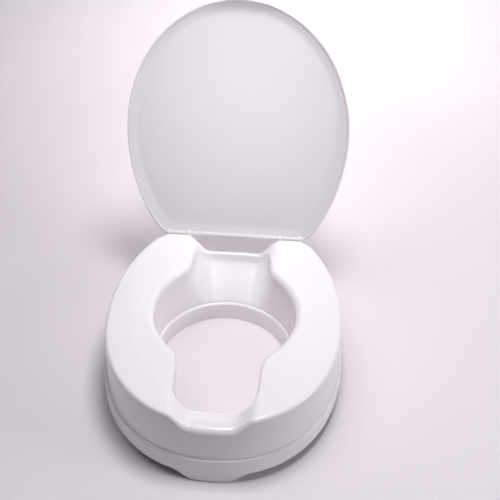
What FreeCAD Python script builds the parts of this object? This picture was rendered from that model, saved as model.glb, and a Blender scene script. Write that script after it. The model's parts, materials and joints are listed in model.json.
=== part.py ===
"""Raised toilet seat with a hinged lid and two bowl clamps.

Frame: X across the seat, +Y to the rear, +Z up, millimetres.
The origin is the middle of the collar's lower rim, on which the seat stands when it is off the bowl.
The lid is drawn shut, around its hinge line, and its Placement turns it open.
"""
import FreeCAD
import Part
import Sketcher
import math
import os
from FreeCAD import Matrix, Placement, Rotation, Vector

DRIVING_SIZES = [
    # seat outline, seen from above
    ("seat_half_width", 180, "half width of the seat at its widest"),
    ("seat_front", 216, "widest line to the front edge"),
    ("seat_rear", 177, "widest line to the straight rear edge"),
    ("rear_half_width", 126, "half length of the straight rear edge"),
    ("widest_line", 5, "how far behind the origin the seat is widest"),
    ("corner_round", 26, "radius of the two rear corners"),
    # moulded shell
    ("seat_top", 121, "height of the sitting surface"),
    ("wall", 3.5, "thickness of the moulded walls"),
    ("deck", 4.5, "thickness of the sitting surface"),
    ("edge_round", 8, "radius of the outer top edge"),
    ("ledge_height", 44, "height of the ledge round the outer wall"),
    ("ledge_step", 7, "how far the skirt stands out from the seat outline, at the ledge"),
    ("wall_draft", 3, "how far the wall leans out between the top and the ledge"),
    ("skirt_flare", 3, "how far the skirt leans out below the ledge"),
    ("ledge_round", 2.5, "radius of the ledge"),
    ("skirt_side", 26, "height of the skirt's lower edge at the sides and rear"),
    ("skirt_front", 16, "height of the skirt's lower edge beside the front lobe"),
    ("lobe_bottom", 2, "height of the front lobe's lower edge"),
    ("lobe_half", 20, "half width of the lobe's lower edge"),
    ("lobe_reach", 32, "width of the lobe's curved shoulder"),
    # openings in the sitting surface
    ("bowl_radius", 110, "radius of the round part of the opening"),
    ("bowl_offset", 8, "how far behind the origin that round part is centred"),
    ("front_slot_half", 60, "half width of the opening's front slot"),
    ("front_slot_end", 174, "origin to the front end of the opening"),
    ("rear_slot_half", 64, "half width of the opening's rear slot"),
    ("rear_slot_end", 172, "origin to the rear end of the opening"),
    ("bend_drop", 33, "how far below the sitting surface the opening's wall starts to lean in"),
    ("dip_start", 22, "how far in from the ends of the opening the dips start"),
    ("front_dip", 19, "depth of the front dip"),
    ("front_dip_half", 33, "half width of the front dip's floor"),
    ("front_dip_reach", 26, "width of the front dip's shoulder"),
    ("rear_dip", 31, "depth of the rear dip"),
    ("rear_dip_half", 46, "half width of the rear dip's floor"),
    ("rear_dip_reach", 31, "width of the rear dip's shoulder"),
    # collar that goes into the bowl
    ("collar_half", 107, "inner half width of the collar"),
    ("collar_rear", 107, "origin to the collar's inner face at the rear"),
    ("collar_front", 148, "origin to the collar's inner face at the front"),
    ("collar_height", 34, "height of the collar"),
    ("collar_wall", 3, "thickness of the collar"),
    ("collar_bead", 2.8, "how far the bead at the collar's top stands out"),
    ("bead_height", 4, "height of that bead"),
    ("snap_gap", 0.2, "gap between the bead and the shell"),
    # ribs, pads and bosses under the sitting surface
    ("rib", 2.5, "thickness of a rib"),
    ("rib_bottom", 25, "height of the ribs' lower edges"),
    ("pad_thickness", 3, "thickness of a rubber pad on the bowl's rim"),
    ("pad_radius", 13, "radius of a rubber pad"),
    ("pad_stem", 3, "radius of a pad's stem"),
    ("pad_stem_length", 9, "length of a pad's stem"),
    ("pad_boss", 9, "radius of the boss that holds a pad"),
    ("pad_rear_out", 15, "rear pads, outside the collar's widest line"),
    ("pad_rear_in", 15, "rear pads, ahead of the collar's rear end"),
    ("pad_front_in", 5, "front pads, inside the collar's widest line"),
    ("pad_front_back", 20, "front pads, behind the collar's front end"),
    # lid
    ("lid_side_lap", 0.5, "how much wider than the seat the lid is, each side"),
    ("lid_front_lap", 1.5, "how much longer the lid's front half is than the seat's"),
    ("lid_rear_lap", 1, "how much longer the lid's rear half is than the seat's"),
    ("lid_sheet", 2.6, "thickness of the lid"),
    ("lid_band", 13, "width of the sloped band round the lid"),
    ("lid_rise", 6, "how far the band lifts the middle of the lid"),
    ("lid_gap", 0.4, "gap between the shut lid and the seat"),
    ("lid_corner_round", 15, "radius of the lid's rear corners"),
    ("lid_open_angle", 102.6, "angle of the open lid from shut"),
    # hinge
    ("hinge_behind", 5, "hinge line behind the straight rear edge"),
    ("hinge_above", 0.5, "hinge line above the sitting surface"),
    ("rod", 3.2, "radius of the lid's hinge rod"),
    ("rod_inset", 5, "hinge rod's end, in from the end of the straight rear edge"),
    ("rod_clearance", 0.05, "radial clearance of the rod in a clip's eye"),
    ("eye_wall", 2.5, "wall of a clip's eye"),
    ("ear", 3, "thickness of a clip's ear"),
    ("ear_side_gap", 0.4, "gap beside an ear in the lid's slot"),
    ("ear_round_gap", 0.8, "gap round an eye in the lid's slot"),
    ("eye_mouth", 4.8, "width of the mouth through which the rod snaps in"),
    ("clip_inset", 30, "middle of a hinge clip, in from the end of the straight rear edge"),
    ("ear_spacing", 34, "distance between a clip's two ears"),
    ("clip_length", 42, "length of a clip's base"),
    ("clip_height", 10, "height of a clip's base"),
    ("clip_front", 10, "how far a clip's base reaches in from the rear edge"),
    ("clip_proud", 0.8, "how far a clip's base stands out from the rear edge"),
    ("clip_seat", 4, "plastic left round a clip's base"),
    # small screws
    ("screw_shank", 1.6, "radius of a screw's shank"),
    ("screw_head", 3.1, "radius of a screw's head"),
    ("screw_head_height", 1.8, "height of a screw's head"),
    ("screw_length", 12, "length of a screw's shank"),
    ("screw_spacing", 16, "distance between the two screws of a hinge clip"),
    # clamps
    ("pocket_half", 25.5, "half width of the pocket for a clamp"),
    ("rail_top", 51, "height of a clamp rail's upper face"),
    ("rail_sheet", 3, "thickness of a clamp rail"),
    ("rail_inner_step", 0.7, "rail's inner end, outside the leg's inner face"),
    ("rail_outer_inset", 3, "rail's outer end, in from the seat's outline"),
    ("rail_gap", 0.4, "gap beside the rail in its pocket"),
    ("rail_screw_end", 6, "rail's screws, in from the rail's ends"),
    ("rail_screw_edge", 8, "rail's screws, in from the pocket's sides"),
    ("rail_boss", 5, "radius of the boss over a rail screw"),
    ("clamp_travel", 20, "how far a clamp slides out"),
    ("bolt", 3, "radius of a clamp bolt"),
    ("bolt_tip", 1.2, "bolt's lower end, above the knob's lower face"),
    ("bolt_chamfer", 0.6, "chamfer at the bolt's lower end"),
    ("bolt_head", 8, "radius of the bolt's domed head"),
    ("bolt_head_height", 3.4, "height of the domed head"),
    ("bolt_head_rim", 0.8, "height of the head's upright rim"),
    ("slot_gap", 0.3, "gap beside the bolt's square neck in the rail's slot"),
    ("slide_gap", 0.4, "gap between sliding faces"),
    ("arm_sheet", 3, "thickness of a bracket"),
    ("arm_half", 12, "half width of a bracket's arm"),
    ("leg_half", 17, "half width of a bracket's leg"),
    ("leg_gap", 6, "collar's bead to the leg, clamp drawn in"),
    ("leg_bottom", 3, "height of the leg's lower end"),
    ("leg_shoulder", 40, "height at which the leg starts to widen"),
    ("leg_taper", 8, "height over which the leg widens"),
    ("leg_corner", 3, "chamfer of the leg's lower corners"),
    ("arm_overhang", 9, "arm beyond the bolt"),
    ("grip_thickness", 4, "thickness of a rubber grip"),
    ("grip_half", 15, "half width of a rubber grip"),
    ("grip_above", 2, "grip's lower edge, above the leg's lower end"),
    ("grip_height", 17, "height of a grip"),
    ("grip_groove", 1.2, "depth of a grip's grooves"),
    ("grip_peg", 3, "radius of the peg that holds a grip"),
    ("washer_radius", 8, "radius of a washer"),
    ("washer_sheet", 1.5, "thickness of a washer"),
    ("knob_radius", 14, "radius of a clamp knob"),
    ("knob_height", 13, "height of a clamp knob"),
    ("knob_scallop", 4, "radius of the scallops round a knob"),
    ("knob_scallop_out", 2.2, "middle of a scallop, outside the knob's edge"),
    ("knob_gap", 0.3, "gap between knob and washer"),
    ("knob_leg_gap", 3.2, "gap between the knob's edge and the leg"),
    ("thread_clearance", 0.05, "radial clearance of a knob on its bolt"),
]
DERIVED_SIZES = [
    ("bend_height", "=seat_top - bend_drop", "where the opening's wall starts to lean in"),
    ("pad_rear_x", "=collar_half + pad_rear_out", "rear pads, across"),
    ("pad_rear_y", "=collar_rear - pad_rear_in", "rear pads, behind the origin"),
    ("pad_front_x", "=collar_half - pad_front_in", "front pads, across"),
    ("pad_front_y", "=collar_front - pad_front_back", "front pads, ahead of the origin"),
    ("lid_half_width", "=seat_half_width + lid_side_lap", "half width of the lid"),
    ("lid_front", "=seat_front + lid_front_lap", "lid's widest line to its front edge"),
    ("lid_rear", "=seat_rear + lid_rear_lap", "hinge line to the lid's widest line"),
    ("rod_half_length", "=rear_half_width - rod_inset", "half length of the hinge rod"),
    ("clip_centre", "=rear_half_width - clip_inset", "origin to the middle of a hinge clip"),
    ("bead_outer", "=collar_half + collar_wall + collar_bead", "origin to the bead's outer face"),
    ("wall_lean", "=max(0; bowl_radius - bead_outer - snap_gap) * (rail_top - collar_height)"
                  " / (bend_height - collar_height)", "lean of the opening's wall up to the rails"),
    ("leg_inner", "=bead_outer + wall_lean + leg_gap", "origin to a leg's inner face"),
    ("grip_bottom", "=leg_bottom + grip_above", "height of a grip's lower edge"),
    ("bolt_place", "=leg_inner + arm_sheet + knob_leg_gap + knob_radius", "origin to a clamp's bolt"),
    ("rail_inner", "=leg_inner + rail_inner_step", "origin to the rail's inner end"),
    ("rail_outer", "=seat_half_width - rail_outer_inset", "origin to the rail's outer end"),
    ("rail_screw_inner", "=rail_inner + rail_screw_end", "origin to the rail's inner screws"),
    ("rail_screw_outer", "=rail_outer - rail_screw_end", "origin to the rail's outer screws"),
    ("rail_screw_side", "=pocket_half - rail_screw_edge", "rail's screws, off the middle"),
    ("arm_top", "=rail_top - rail_sheet - slide_gap", "height of a bracket's upper face"),
    ("washer_bottom", "=arm_top - arm_sheet - washer_sheet", "height of a washer's lower face"),
    ("knob_bottom", "=washer_bottom - knob_gap - knob_height", "height of a knob's lower face"),
    ("bolt_bottom", "=knob_bottom + bolt_tip", "height of the bolt's lower end"),
    ("eye", "=rod + rod_clearance + eye_wall", "radius of a clip's eye"),
]
RIB_ANGLES = [27, 45, 63, 81, 99, 117, 135, 153]
SIDES = [("left", 1), ("right", -1)]
OUTLINE_POINTS = 48
CROWDING = 0.35
SLOT_SQUARENESS, BLEND_SHARPNESS = 9, 12
OVER = 40

doc = FreeCAD.newDocument("raised_toilet_seat")
sheet = doc.addObject("Spreadsheet::Sheet", "dims")
for row, (alias, value, note) in enumerate(DRIVING_SIZES + DERIVED_SIZES, start=1):
    sheet.set(f"A{row}", note)
    sheet.set(f"B{row}", str(value))
    sheet.setAlias(f"B{row}", alias)
doc.recompute()


class Size:
    """A length with both its number and the expression that ties it to the sheet."""

    def __init__(self, number, text):
        self.number = number
        self.text = text

    def combine(self, other, sign, swap=False):
        if not isinstance(other, Size):
            other = Size(other, str(other))
        first, second = (other, self) if swap else (self, other)
        results = {"+": first.number + second.number, "-": first.number - second.number,
                   "*": first.number * second.number}
        return Size(results[sign], f"({first.text} {sign} {second.text})")

    def __add__(self, other):
        return self.combine(other, "+")

    def __radd__(self, other):
        return self.combine(other, "+")

    def __sub__(self, other):
        return self.combine(other, "-")

    def __rsub__(self, other):
        return self.combine(other, "-", swap=True)

    def __mul__(self, other):
        return self.combine(other, "*")

    def __neg__(self):
        return self.combine(-1, "*")


def size(alias):
    """The sheet's size of that name, for objects that are bound to it."""
    return Size(float(getattr(sheet, alias)), f"dims.{alias}")


def mm(alias):
    """The sheet's size of that name, as a number."""
    return float(getattr(sheet, alias))


def bind(item, **properties):
    """Bind each property of a document object to a Size; Base_x stands for Placement.Base.x."""
    for name, value in properties.items():
        path = name.replace("Base_", "Placement.Base.")
        if isinstance(value, Size):
            item.setExpression(path, value.text)
        else:
            item.setExpression(path, str(value))


# ---------------------------------------------------------------- outlines

def scaled_arc(across, along, start, end, height):
    """Part of an ellipse round the widest line, from angle start to end, in degrees."""
    arc = Part.makeCircle(1, Vector(0, 0, 0), Vector(0, 0, 1), start, end)
    stretch = Matrix()
    stretch.scale(across, along, 1)
    stretch.move(Vector(0, 0, height))
    return arc.transformGeometry(stretch)


def egg_wire(half, front, rear, rear_half, corner_round, height):
    """The egg: a half ellipse in front, two shallower arcs behind, and a straight rear edge.

    A rear corner's circle touches the rear edge and, at turn, the ellipse; turn is found by halving.
    """
    depth = rear / math.sqrt(1 - (rear_half / half) ** 2)

    def centre_at(turn):
        across, along = math.cos(turn) / half, math.sin(turn) / depth
        inward = corner_round / math.hypot(across, along)
        return half * math.cos(turn) - across * inward, depth * math.sin(turn) - along * inward

    low, high = 0.0, math.asin(rear / depth)
    for _ in range(60):
        turn = (low + high) / 2
        if centre_at(turn)[1] < rear - corner_round:
            low = turn
        else:
            high = turn
    across = centre_at(turn)[0]
    lean = math.atan2(depth * math.sin(turn) - rear + corner_round, half * math.cos(turn) - across)
    middle = (lean + math.pi / 2) / 2
    corners = []
    for side in (1, -1):
        marks = [Vector(side * (across + corner_round * math.cos(way)),
                        rear - corner_round + corner_round * math.sin(way), height)
                 for way in (lean, middle, math.pi / 2)]
        corners.append((Part.Arc(*marks).toShape(), marks[-1]))
    turn = math.degrees(turn)
    return Part.Wire(Part.__sortEdges__([
        scaled_arc(half, depth, 0, turn, height), corners[0][0],
        Part.makeLine(corners[0][1], corners[1][1]), corners[1][0],
        scaled_arc(half, depth, 180 - turn, 180, height),
        scaled_arc(half, front, 180, 360, height),
    ]))


def seat_block(grow_low, grow_high, low, high):
    """The seat's egg, grown by so much at its lower and upper face, in the row's frame."""
    wires = [egg_wire(mm("seat_half_width") + grow, mm("seat_front") + grow, mm("seat_rear") + grow,
                      mm("rear_half_width") + grow, mm("corner_round"), height)
             for grow, height in ((grow_low, low), (grow_high, high))]
    block = Part.makeLoft(wires, True, True)
    block.translate(Vector(0, mm("widest_line"), 0))
    return block


def rounded_top(block, top, radius):
    """The block with the edge of its top face rounded."""
    edges = [edge for edge in block.Edges if edge.BoundBox.ZMin > top - 0.01]
    return block.makeFillet(radius, edges)


def turn_angles():
    """Angles round the opening from its rear, closer together at the two slots."""
    angles = []
    for step in range(2 * OUTLINE_POINTS):
        share = step / OUTLINE_POINTS
        angles.append(math.pi / 2 + math.pi * share - CROWDING * math.sin(2 * math.pi * share))
    return angles


def opening_reach(angle, grow):
    """Distance from the origin to the edge of the opening: a round bowl blended with its slots."""
    across, along = abs(math.cos(angle)), math.sin(angle)
    radius, offset = mm("bowl_radius") + grow, mm("bowl_offset")
    bowl = offset * along + math.sqrt(radius ** 2 - (offset * across) ** 2)
    end = "rear" if along > 0 else "front"
    half, length = mm(end + "_slot_half") + grow, mm(end + "_slot_end") + grow
    slot = ((across / half) ** SLOT_SQUARENESS
            + (abs(along) / length) ** SLOT_SQUARENESS) ** (-1 / SLOT_SQUARENESS)
    return (bowl ** BLEND_SHARPNESS + slot ** BLEND_SHARPNESS) ** (1 / BLEND_SHARPNESS)


def collar_reach(angle, grow):
    """Distance from the origin to the collar, an oval that is longer in front."""
    across, along = math.cos(angle), math.sin(angle)
    length = mm("collar_rear") if along > 0 else mm("collar_front")
    return 1 / math.hypot(across / (mm("collar_half") + grow), along / (length + grow))


def ring_wire(reach, grow, height):
    """A closed smooth curve at one height, as far out as reach says in each direction."""
    points = []
    for angle in turn_angles():
        radius = reach(angle, grow)
        points.append(Vector(radius * math.cos(angle), radius * math.sin(angle), height))
    curve = Part.BSplineCurve()
    curve.interpolate(Points=points, PeriodicFlag=True)
    return Part.Wire([curve.toShape()])


def ring_prism(reach, grow, low, high):
    """A straight-sided block of such a curve."""
    return Part.Face(ring_wire(reach, grow, low)).extrude(Vector(0, 0, high - low))


# ---------------------------------------------------------------- seat shell

def s_curve(start, end):
    """Two equal arcs from start to end, level at both."""
    run, rise = end.x - start.x, end.z - start.z
    middle = (start + end) * 0.5
    radius = (run ** 2 + rise ** 2) / (4 * abs(rise))
    lean = math.copysign(radius, rise)
    edges = []
    for first, last, centre in ((start, middle, start + Vector(0, 0, lean)),
                                (middle, end, end - Vector(0, 0, lean))):
        chord = ((first + last) * 0.5 - centre).normalize()
        edges.append(Part.Arc(first, centre + chord * radius, last).toShape())
    return edges


def dip_profile(half, reach, level, top, roof):
    """A flat floor, a curved shoulder each side, and straight up to roof."""
    floor_left, floor_right = Vector(-half, 0, level), Vector(half, 0, level)
    rim_left, rim_right = Vector(-half - reach, 0, top), Vector(half + reach, 0, top)
    up_left, up_right = Vector(-half - reach, 0, roof), Vector(half + reach, 0, roof)
    edges = s_curve(rim_left, floor_left) + [Part.makeLine(floor_left, floor_right)]
    edges += s_curve(floor_right, rim_right)
    edges += [Part.makeLine(rim_right, up_right), Part.makeLine(up_right, up_left),
              Part.makeLine(up_left, rim_left)]
    return Part.Face(Part.Wire(edges))


def dips(grow):
    """The front and rear dips in the sitting surface; grow leaves that much plastic below them."""
    top = mm("seat_top")
    solids = []
    for end, start, length in (("front", mm("dip_start") - mm("front_slot_end"), -OVER * 3),
                               ("rear", mm("rear_slot_end") - mm("dip_start"), OVER * 3)):
        face = dip_profile(mm(end + "_dip_half"), mm(end + "_dip_reach"),
                           top - mm(end + "_dip"), top, top + OVER)
        if grow:
            face = face.makeOffset2D(grow, fill=False)
            start -= math.copysign(grow, length)
        face.translate(Vector(0, start, 0))
        solids.append(face.extrude(Vector(0, length, 0)))
    return solids


def well(grow):
    """The space inside the opening's wall, from above the seat down past the collar."""
    bend, top, low = mm("bend_height"), mm("seat_top"), mm("collar_height")
    seat_gap = mm("collar_wall") + mm("collar_bead") + mm("snap_gap")
    upper = ring_prism(opening_reach, grow, bend, top + OVER)
    lean = Part.makeLoft([ring_wire(collar_reach, seat_gap + grow, low),
                          ring_wire(opening_reach, grow, bend)], True, True)
    lower = ring_prism(collar_reach, seat_gap + grow, -OVER, low)
    return upper.fuse([lean, lower])


def hollow():
    """The space under the sitting surface, between the outer wall and the opening's wall."""
    wall, ledge, top = mm("wall"), mm("ledge_height"), mm("seat_top") - mm("deck")
    upper = seat_block(mm("wall_draft") - wall, -wall, ledge - 2 * wall, top)
    upper = rounded_top(upper, top, mm("edge_round") - wall)
    lower = seat_block(mm("ledge_step") - wall, mm("ledge_step") - wall, -OVER, ledge - wall)
    return upper.fuse(lower).cut([well(wall)] + dips(mm("deck")))


def radial_plate(angle):
    """A thin upright plate that runs out from the origin."""
    plate = Part.makeBox(OVER * 8, mm("rib"), mm("seat_top"), Vector(0, -mm("rib") / 2, mm("rib_bottom")))
    plate.rotate(Vector(0, 0, 0), Vector(0, 0, 1), angle)
    return plate


def boss(x, y, radius, bottom):
    """An upright round boss that hangs from the sitting surface."""
    return Part.makeCylinder(radius, mm("seat_top") - bottom, Vector(x, y, bottom))


def pad_places():
    """Where the four rubber pads are, by name."""
    places = []
    for name, side in SIDES:
        places.append(("rear_" + name, side * mm("pad_rear_x"), mm("pad_rear_y")))
        places.append(("front_" + name, side * mm("pad_front_x"), -mm("pad_front_y")))
    return places


def rail_screw_places():
    """Where the eight rail screws are."""
    return [(side * x, y * mm("rail_screw_side")) for _, side in SIDES
            for x in (mm("rail_screw_inner"), mm("rail_screw_outer")) for y in (1, -1)]


def clip_screw_places():
    """How far across the four hinge screws are."""
    return [side * mm("clip_centre") + step * mm("screw_spacing") / 2
            for _, side in SIDES for step in (1, -1)]


def rear_edge():
    """How far behind the origin the straight rear edge is."""
    return mm("widest_line") + mm("seat_rear")


def clip_space(spread, low):
    """The block of space that a hinge clip's base takes, with so much more round it."""
    length = mm("clip_length") + 2 * spread
    solids = []
    for _, side in SIDES:
        corner = Vector(side * mm("clip_centre") - length / 2, rear_edge() - mm("clip_front") - spread, low)
        solids.append(Part.makeBox(length, OVER, mm("seat_top") + OVER - low, corner))
    return solids


def stiffeners():
    """Ribs, guide ribs and bosses, before they are trimmed to the hollow."""
    solids = [radial_plate(side * angle) for angle in RIB_ANGLES for side in (1, -1)]
    for side in (1, -1):
        y = side * (mm("pocket_half") + mm("rib") / 2) - mm("rib") / 2
        solids.append(Part.makeBox(OVER * 12, mm("rib"), mm("seat_top"),
                                   Vector(-OVER * 6, y, mm("rib_bottom"))))
    for _, x, y in pad_places():
        solids.append(boss(x, y, mm("pad_boss"), mm("rib_bottom")))
    for x, y in rail_screw_places():
        solids.append(boss(x, y, mm("rail_boss"), mm("rail_top")))
    return solids


def skirt_trim():
    """What is taken off below the skirt: all but the front lobe."""
    reach = mm("seat_half_width") + OVER
    far = mm("seat_front") + OVER
    side, front = mm("skirt_side"), mm("skirt_front")
    corners = [(-far, -OVER), (-far, front), (-mm("seat_front"), front), (mm("widest_line"), side),
               (far, side), (far, -OVER), (-far, -OVER)]
    face = Part.Face(Part.makePolygon([Vector(-reach, y, z) for y, z in corners]))
    trim = face.extrude(Vector(2 * reach, 0, 0))
    lobe = dip_profile(mm("lobe_half"), mm("lobe_reach"), mm("lobe_bottom"), side, side + OVER)
    lobe.translate(Vector(0, -far, 0))
    return trim.cut(lobe.extrude(Vector(0, far - mm("collar_front"), 0)))


def make_seat_shell():
    """The moulded seat: sitting surface, outer wall, skirt, opening wall, ribs and bosses."""
    ledge, top = mm("ledge_height"), mm("seat_top")
    outer = rounded_top(seat_block(mm("wall_draft"), 0, ledge - mm("wall"), top), top, mm("edge_round"))
    skirt_low = mm("ledge_step") + mm("skirt_flare")
    skirt = rounded_top(seat_block(skirt_low, mm("ledge_step"), mm("lobe_bottom"), ledge), ledge,
                        mm("ledge_round"))
    space = hollow()
    solid = outer.fuse(skirt).cut(dips(0) + [well(0)])
    shell = solid.cut(space)
    clip_blocks = [block.common(solid) for block in
                   clip_space(mm("clip_seat"), top - mm("clip_height") - mm("clip_seat"))]
    added = [piece.common(space) for piece in stiffeners()] + clip_blocks
    shell = shell.fuse(added)
    below = seat_block(mm("ledge_step") - mm("wall"), mm("ledge_step") - mm("wall"),
                       -OVER, mm("rib_bottom"))
    holes = [below, skirt_trim()] + clip_space(0, top - mm("clip_height"))
    for _, x, y in pad_places():
        holes.append(Part.makeCylinder(mm("pad_stem"), mm("pad_stem_length"),
                                       Vector(x, y, mm("rib_bottom"))))
    for x, y in rail_screw_places():
        holes.append(Part.makeCylinder(mm("screw_shank"), mm("screw_length") - mm("rail_sheet"),
                                       Vector(x, y, mm("rail_top"))))
    for x in clip_screw_places():
        start = Vector(x, rear_edge() - mm("clip_front"), top - mm("clip_height") / 2)
        depth = mm("screw_length") - mm("clip_front") - mm("clip_proud")
        holes.append(Part.makeCylinder(mm("screw_shank"), depth, start, Vector(0, -1, 0)))
    return shell.cut(holes).removeSplitter()


def make_collar():
    """The oval collar that goes down into the bowl, with a bead round its top."""
    wall, height = mm("collar_wall"), mm("collar_height")
    sleeve = ring_prism(collar_reach, wall, 0, height)
    bead = ring_prism(collar_reach, wall + mm("collar_bead"), height - mm("bead_height"), height)
    return sleeve.fuse(bead).cut(ring_prism(collar_reach, 0, -OVER, height + OVER)).removeSplitter()


# ---------------------------------------------------------------- lid

def lid_block(shrink_low, shrink_high, low, high):
    """A slice of the lid's egg, ahead of the hinge line, which is the row's X axis here."""
    wires = [egg_wire(mm("lid_half_width") - shrink, mm("lid_front") - shrink, mm("lid_rear") - shrink,
                      mm("rear_half_width") - shrink, mm("lid_corner_round"), height)
             for shrink, height in ((shrink_low, low), (shrink_high, high))]
    block = Part.makeLoft(wires, True, True)
    block.translate(Vector(0, -mm("lid_rear"), 0))
    return block


def make_lid():
    """The lid, shut: a rim, a band that slopes up to a flat middle, and the hinge rod behind."""
    sheet_mm, band, rise = mm("lid_sheet"), mm("lid_band"), mm("lid_rise")
    low = mm("lid_gap") - mm("hinge_above")
    outside = lid_block(0, 0, low, low + sheet_mm).fuse(
        lid_block(0, band, low + sheet_mm, low + sheet_mm + rise))
    inside = lid_block(sheet_mm, sheet_mm, low - 1, low).fuse(
        lid_block(sheet_mm, sheet_mm + band, low, low + rise))
    rod_half = mm("rod_half_length")
    rod = Part.makeCylinder(mm("rod"), 2 * rod_half, Vector(-rod_half, 0, 0), Vector(1, 0, 0))
    lid = outside.cut(inside).fuse(rod)
    eye = mm("eye") + mm("ear_round_gap")
    width = mm("ear") + 2 * mm("ear_side_gap")
    for _, side in SIDES:
        for step in (1, -1):
            start = Vector(side * mm("clip_centre") + step * mm("ear_spacing") / 2 - width / 2, 0, 0)
            slot = Part.makeCylinder(eye, width, start, Vector(1, 0, 0))
            keep = Part.makeCylinder(mm("rod"), width, start, Vector(1, 0, 0))
            lid = lid.cut(slot.cut(keep))
    return lid.removeSplitter()


def shape_feature(name, shape):
    """A document object that holds a shape made from the sheet's sizes."""
    feature = doc.addObject("Part::Feature", name)
    feature.Label = name
    feature.Shape = shape
    return feature


def hinge_point():
    """A point on the hinge line."""
    return Vector(0, rear_edge() + mm("hinge_behind"), mm("seat_top") + mm("hinge_above"))


# ---------------------------------------------------------------- sketches and bodies

def new_body(name):
    """A body with its own label."""
    body = doc.addObject("PartDesign::Body", name)
    body.Label = name
    return body


def sketch_on(body, plane, name, lift=None):
    """A sketch on one of the body's own origin planes, lifted along that plane's normal."""
    sketch = body.newObject("Sketcher::SketchObject", name)
    support = [item for item in body.Origin.OriginFeatures if item.Role == plane][0]
    sketch.AttachmentSupport = [(support, "")]
    sketch.MapMode = "FlatFace"
    if lift is not None:
        sketch.setExpression("AttachmentOffset.Base.z", lift.text)
    return sketch


def pin_point(sketch, item, place, x, y):
    """Tie a point of the sketch to two sizes."""
    for kind, value in (("DistanceX", x), ("DistanceY", y)):
        number = value.number if isinstance(value, Size) else value
        index = sketch.addConstraint(Sketcher.Constraint(kind, item, place, number))
        if isinstance(value, Size):
            sketch.setExpression(f"Constraints[{index}]", value.text)


def add_polygon(sketch, corners):
    """A closed outline whose corners are tied to sizes."""
    flat = [Vector(*[v.number if isinstance(v, Size) else v for v in corner], 0) for corner in corners]
    first = sketch.GeometryCount
    for index, start in enumerate(flat):
        sketch.addGeometry(Part.LineSegment(start, flat[(index + 1) % len(flat)]))
    for index, (x, y) in enumerate(corners):
        before = first + (index - 1) % len(corners)
        sketch.addConstraint(Sketcher.Constraint("Coincident", before, 2, first + index, 1))
        pin_point(sketch, first + index, 1, x, y)


def add_circle(sketch, x, y, radius):
    """A circle whose centre and radius are tied to sizes."""
    centre = Vector(*[v.number if isinstance(v, Size) else v for v in (x, y)], 0)
    item = sketch.addGeometry(Part.Circle(centre, Vector(0, 0, 1), radius.number))
    pin_point(sketch, item, 3, x, y)
    index = sketch.addConstraint(Sketcher.Constraint("Radius", item, radius.number))
    sketch.setExpression(f"Constraints[{index}]", radius.text)


def feature(body, kind, name, sketch, length, both_ways=False, backwards=False):
    """A Pad or Pocket of a sketch, to a length tied to a size."""
    item = body.newObject("PartDesign::" + kind, name)
    item.Profile = sketch
    item.setExpression("Length", length.text)
    item.Midplane = both_ways
    item.Reversed = backwards
    return item


# ---------------------------------------------------------------- hinge clips

def make_hinge_clip(name, side):
    """A snap-in clip: a base let into the seat's rear edge and two ears with open eyes."""
    body = new_body("hinge_clip_" + name)
    base_back, base_front = size("clip_proud") - size("hinge_behind"), \
        -size("clip_front") - size("hinge_behind")
    base_top = -size("hinge_above")
    base_low = base_top - size("clip_height")
    base = sketch_on(body, "YZ_Plane", "base_outline_" + name)
    add_polygon(base, [(base_front, base_low), (base_back, base_low), (base_back, base_top),
                       (base_front, base_top)])
    feature(body, "Pad", "base_" + name, base, size("clip_length"), both_ways=True)

    eye = size("eye")
    for step, label in ((1, "outer"), (-1, "inner")):
        middle = size("ear_spacing") * (step * 0.5) - size("ear") * 0.5
        neck = sketch_on(body, "YZ_Plane", f"{label}_neck_{name}", middle)
        add_polygon(neck, [(base_back - 1, base_low), (base_back, base_low), (0.0, -eye),
                           (0.0, base_top), (base_back - 1, base_top)])
        feature(body, "Pad", f"{label}_neck_pad_{name}", neck, size("ear"))
        ring = sketch_on(body, "YZ_Plane", f"{label}_eye_{name}", middle)
        add_circle(ring, 0.0, 0.0, eye)
        feature(body, "Pad", f"{label}_eye_pad_{name}", ring, size("ear"))
    bore = sketch_on(body, "YZ_Plane", "bore_outline_" + name)
    add_circle(bore, 0.0, 0.0, size("rod") + size("rod_clearance"))
    feature(body, "Pocket", "bore_" + name, bore, size("clip_length") * 2, both_ways=True)
    mouth = sketch_on(body, "YZ_Plane", "mouth_outline_" + name)
    half = size("eye_mouth") * 0.5
    add_polygon(mouth, [(0.0, -half), (eye * 2, -half), (eye * 2, half), (0.0, half)])
    feature(body, "Pocket", "mouth_" + name, mouth, size("clip_length") * 2, both_ways=True)
    screws = sketch_on(body, "XZ_Plane", "screw_holes_" + name)
    for step in (0.5, -0.5):
        add_circle(screws, size("screw_spacing") * step, base_top - size("clip_height") * 0.5,
                   size("screw_shank"))
    feature(body, "Pocket", "screw_bores_" + name, screws, size("clip_length") * 2, both_ways=True)
    bind(body, Base_x=size("clip_centre") * side,
         Base_y=size("widest_line") + size("seat_rear") + size("hinge_behind"),
         Base_z=size("seat_top") + size("hinge_above"))
    return body


# ---------------------------------------------------------------- screws and pads

def make_screw(name, x, y, z, axis):
    """A small pan-head screw whose shank starts under its head and runs along axis."""
    turn = Rotation(Vector(0, 0, 1), axis)
    shank = doc.addObject("Part::Cylinder", name + "_shank")
    bind(shank, Radius=size("screw_shank"), Height=size("screw_length"))
    head = doc.addObject("Part::Cone", name + "_head")
    bind(head, Radius1=size("screw_head") * 0.75, Radius2=size("screw_head"),
         Height=size("screw_head_height"), Base_z=-size("screw_head_height"))
    joined = doc.addObject("Part::Fuse", name)
    joined.Base, joined.Tool = shank, head
    joined.Placement = Placement(Vector(0, 0, 0), turn)
    bind(joined, Base_x=x, Base_y=y, Base_z=z)
    return joined


def make_screw_group(name, screws):
    """Identical screws, kept together."""
    group = doc.addObject("Part::Compound", name)
    group.Label = name
    group.Links = screws
    return group


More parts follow.
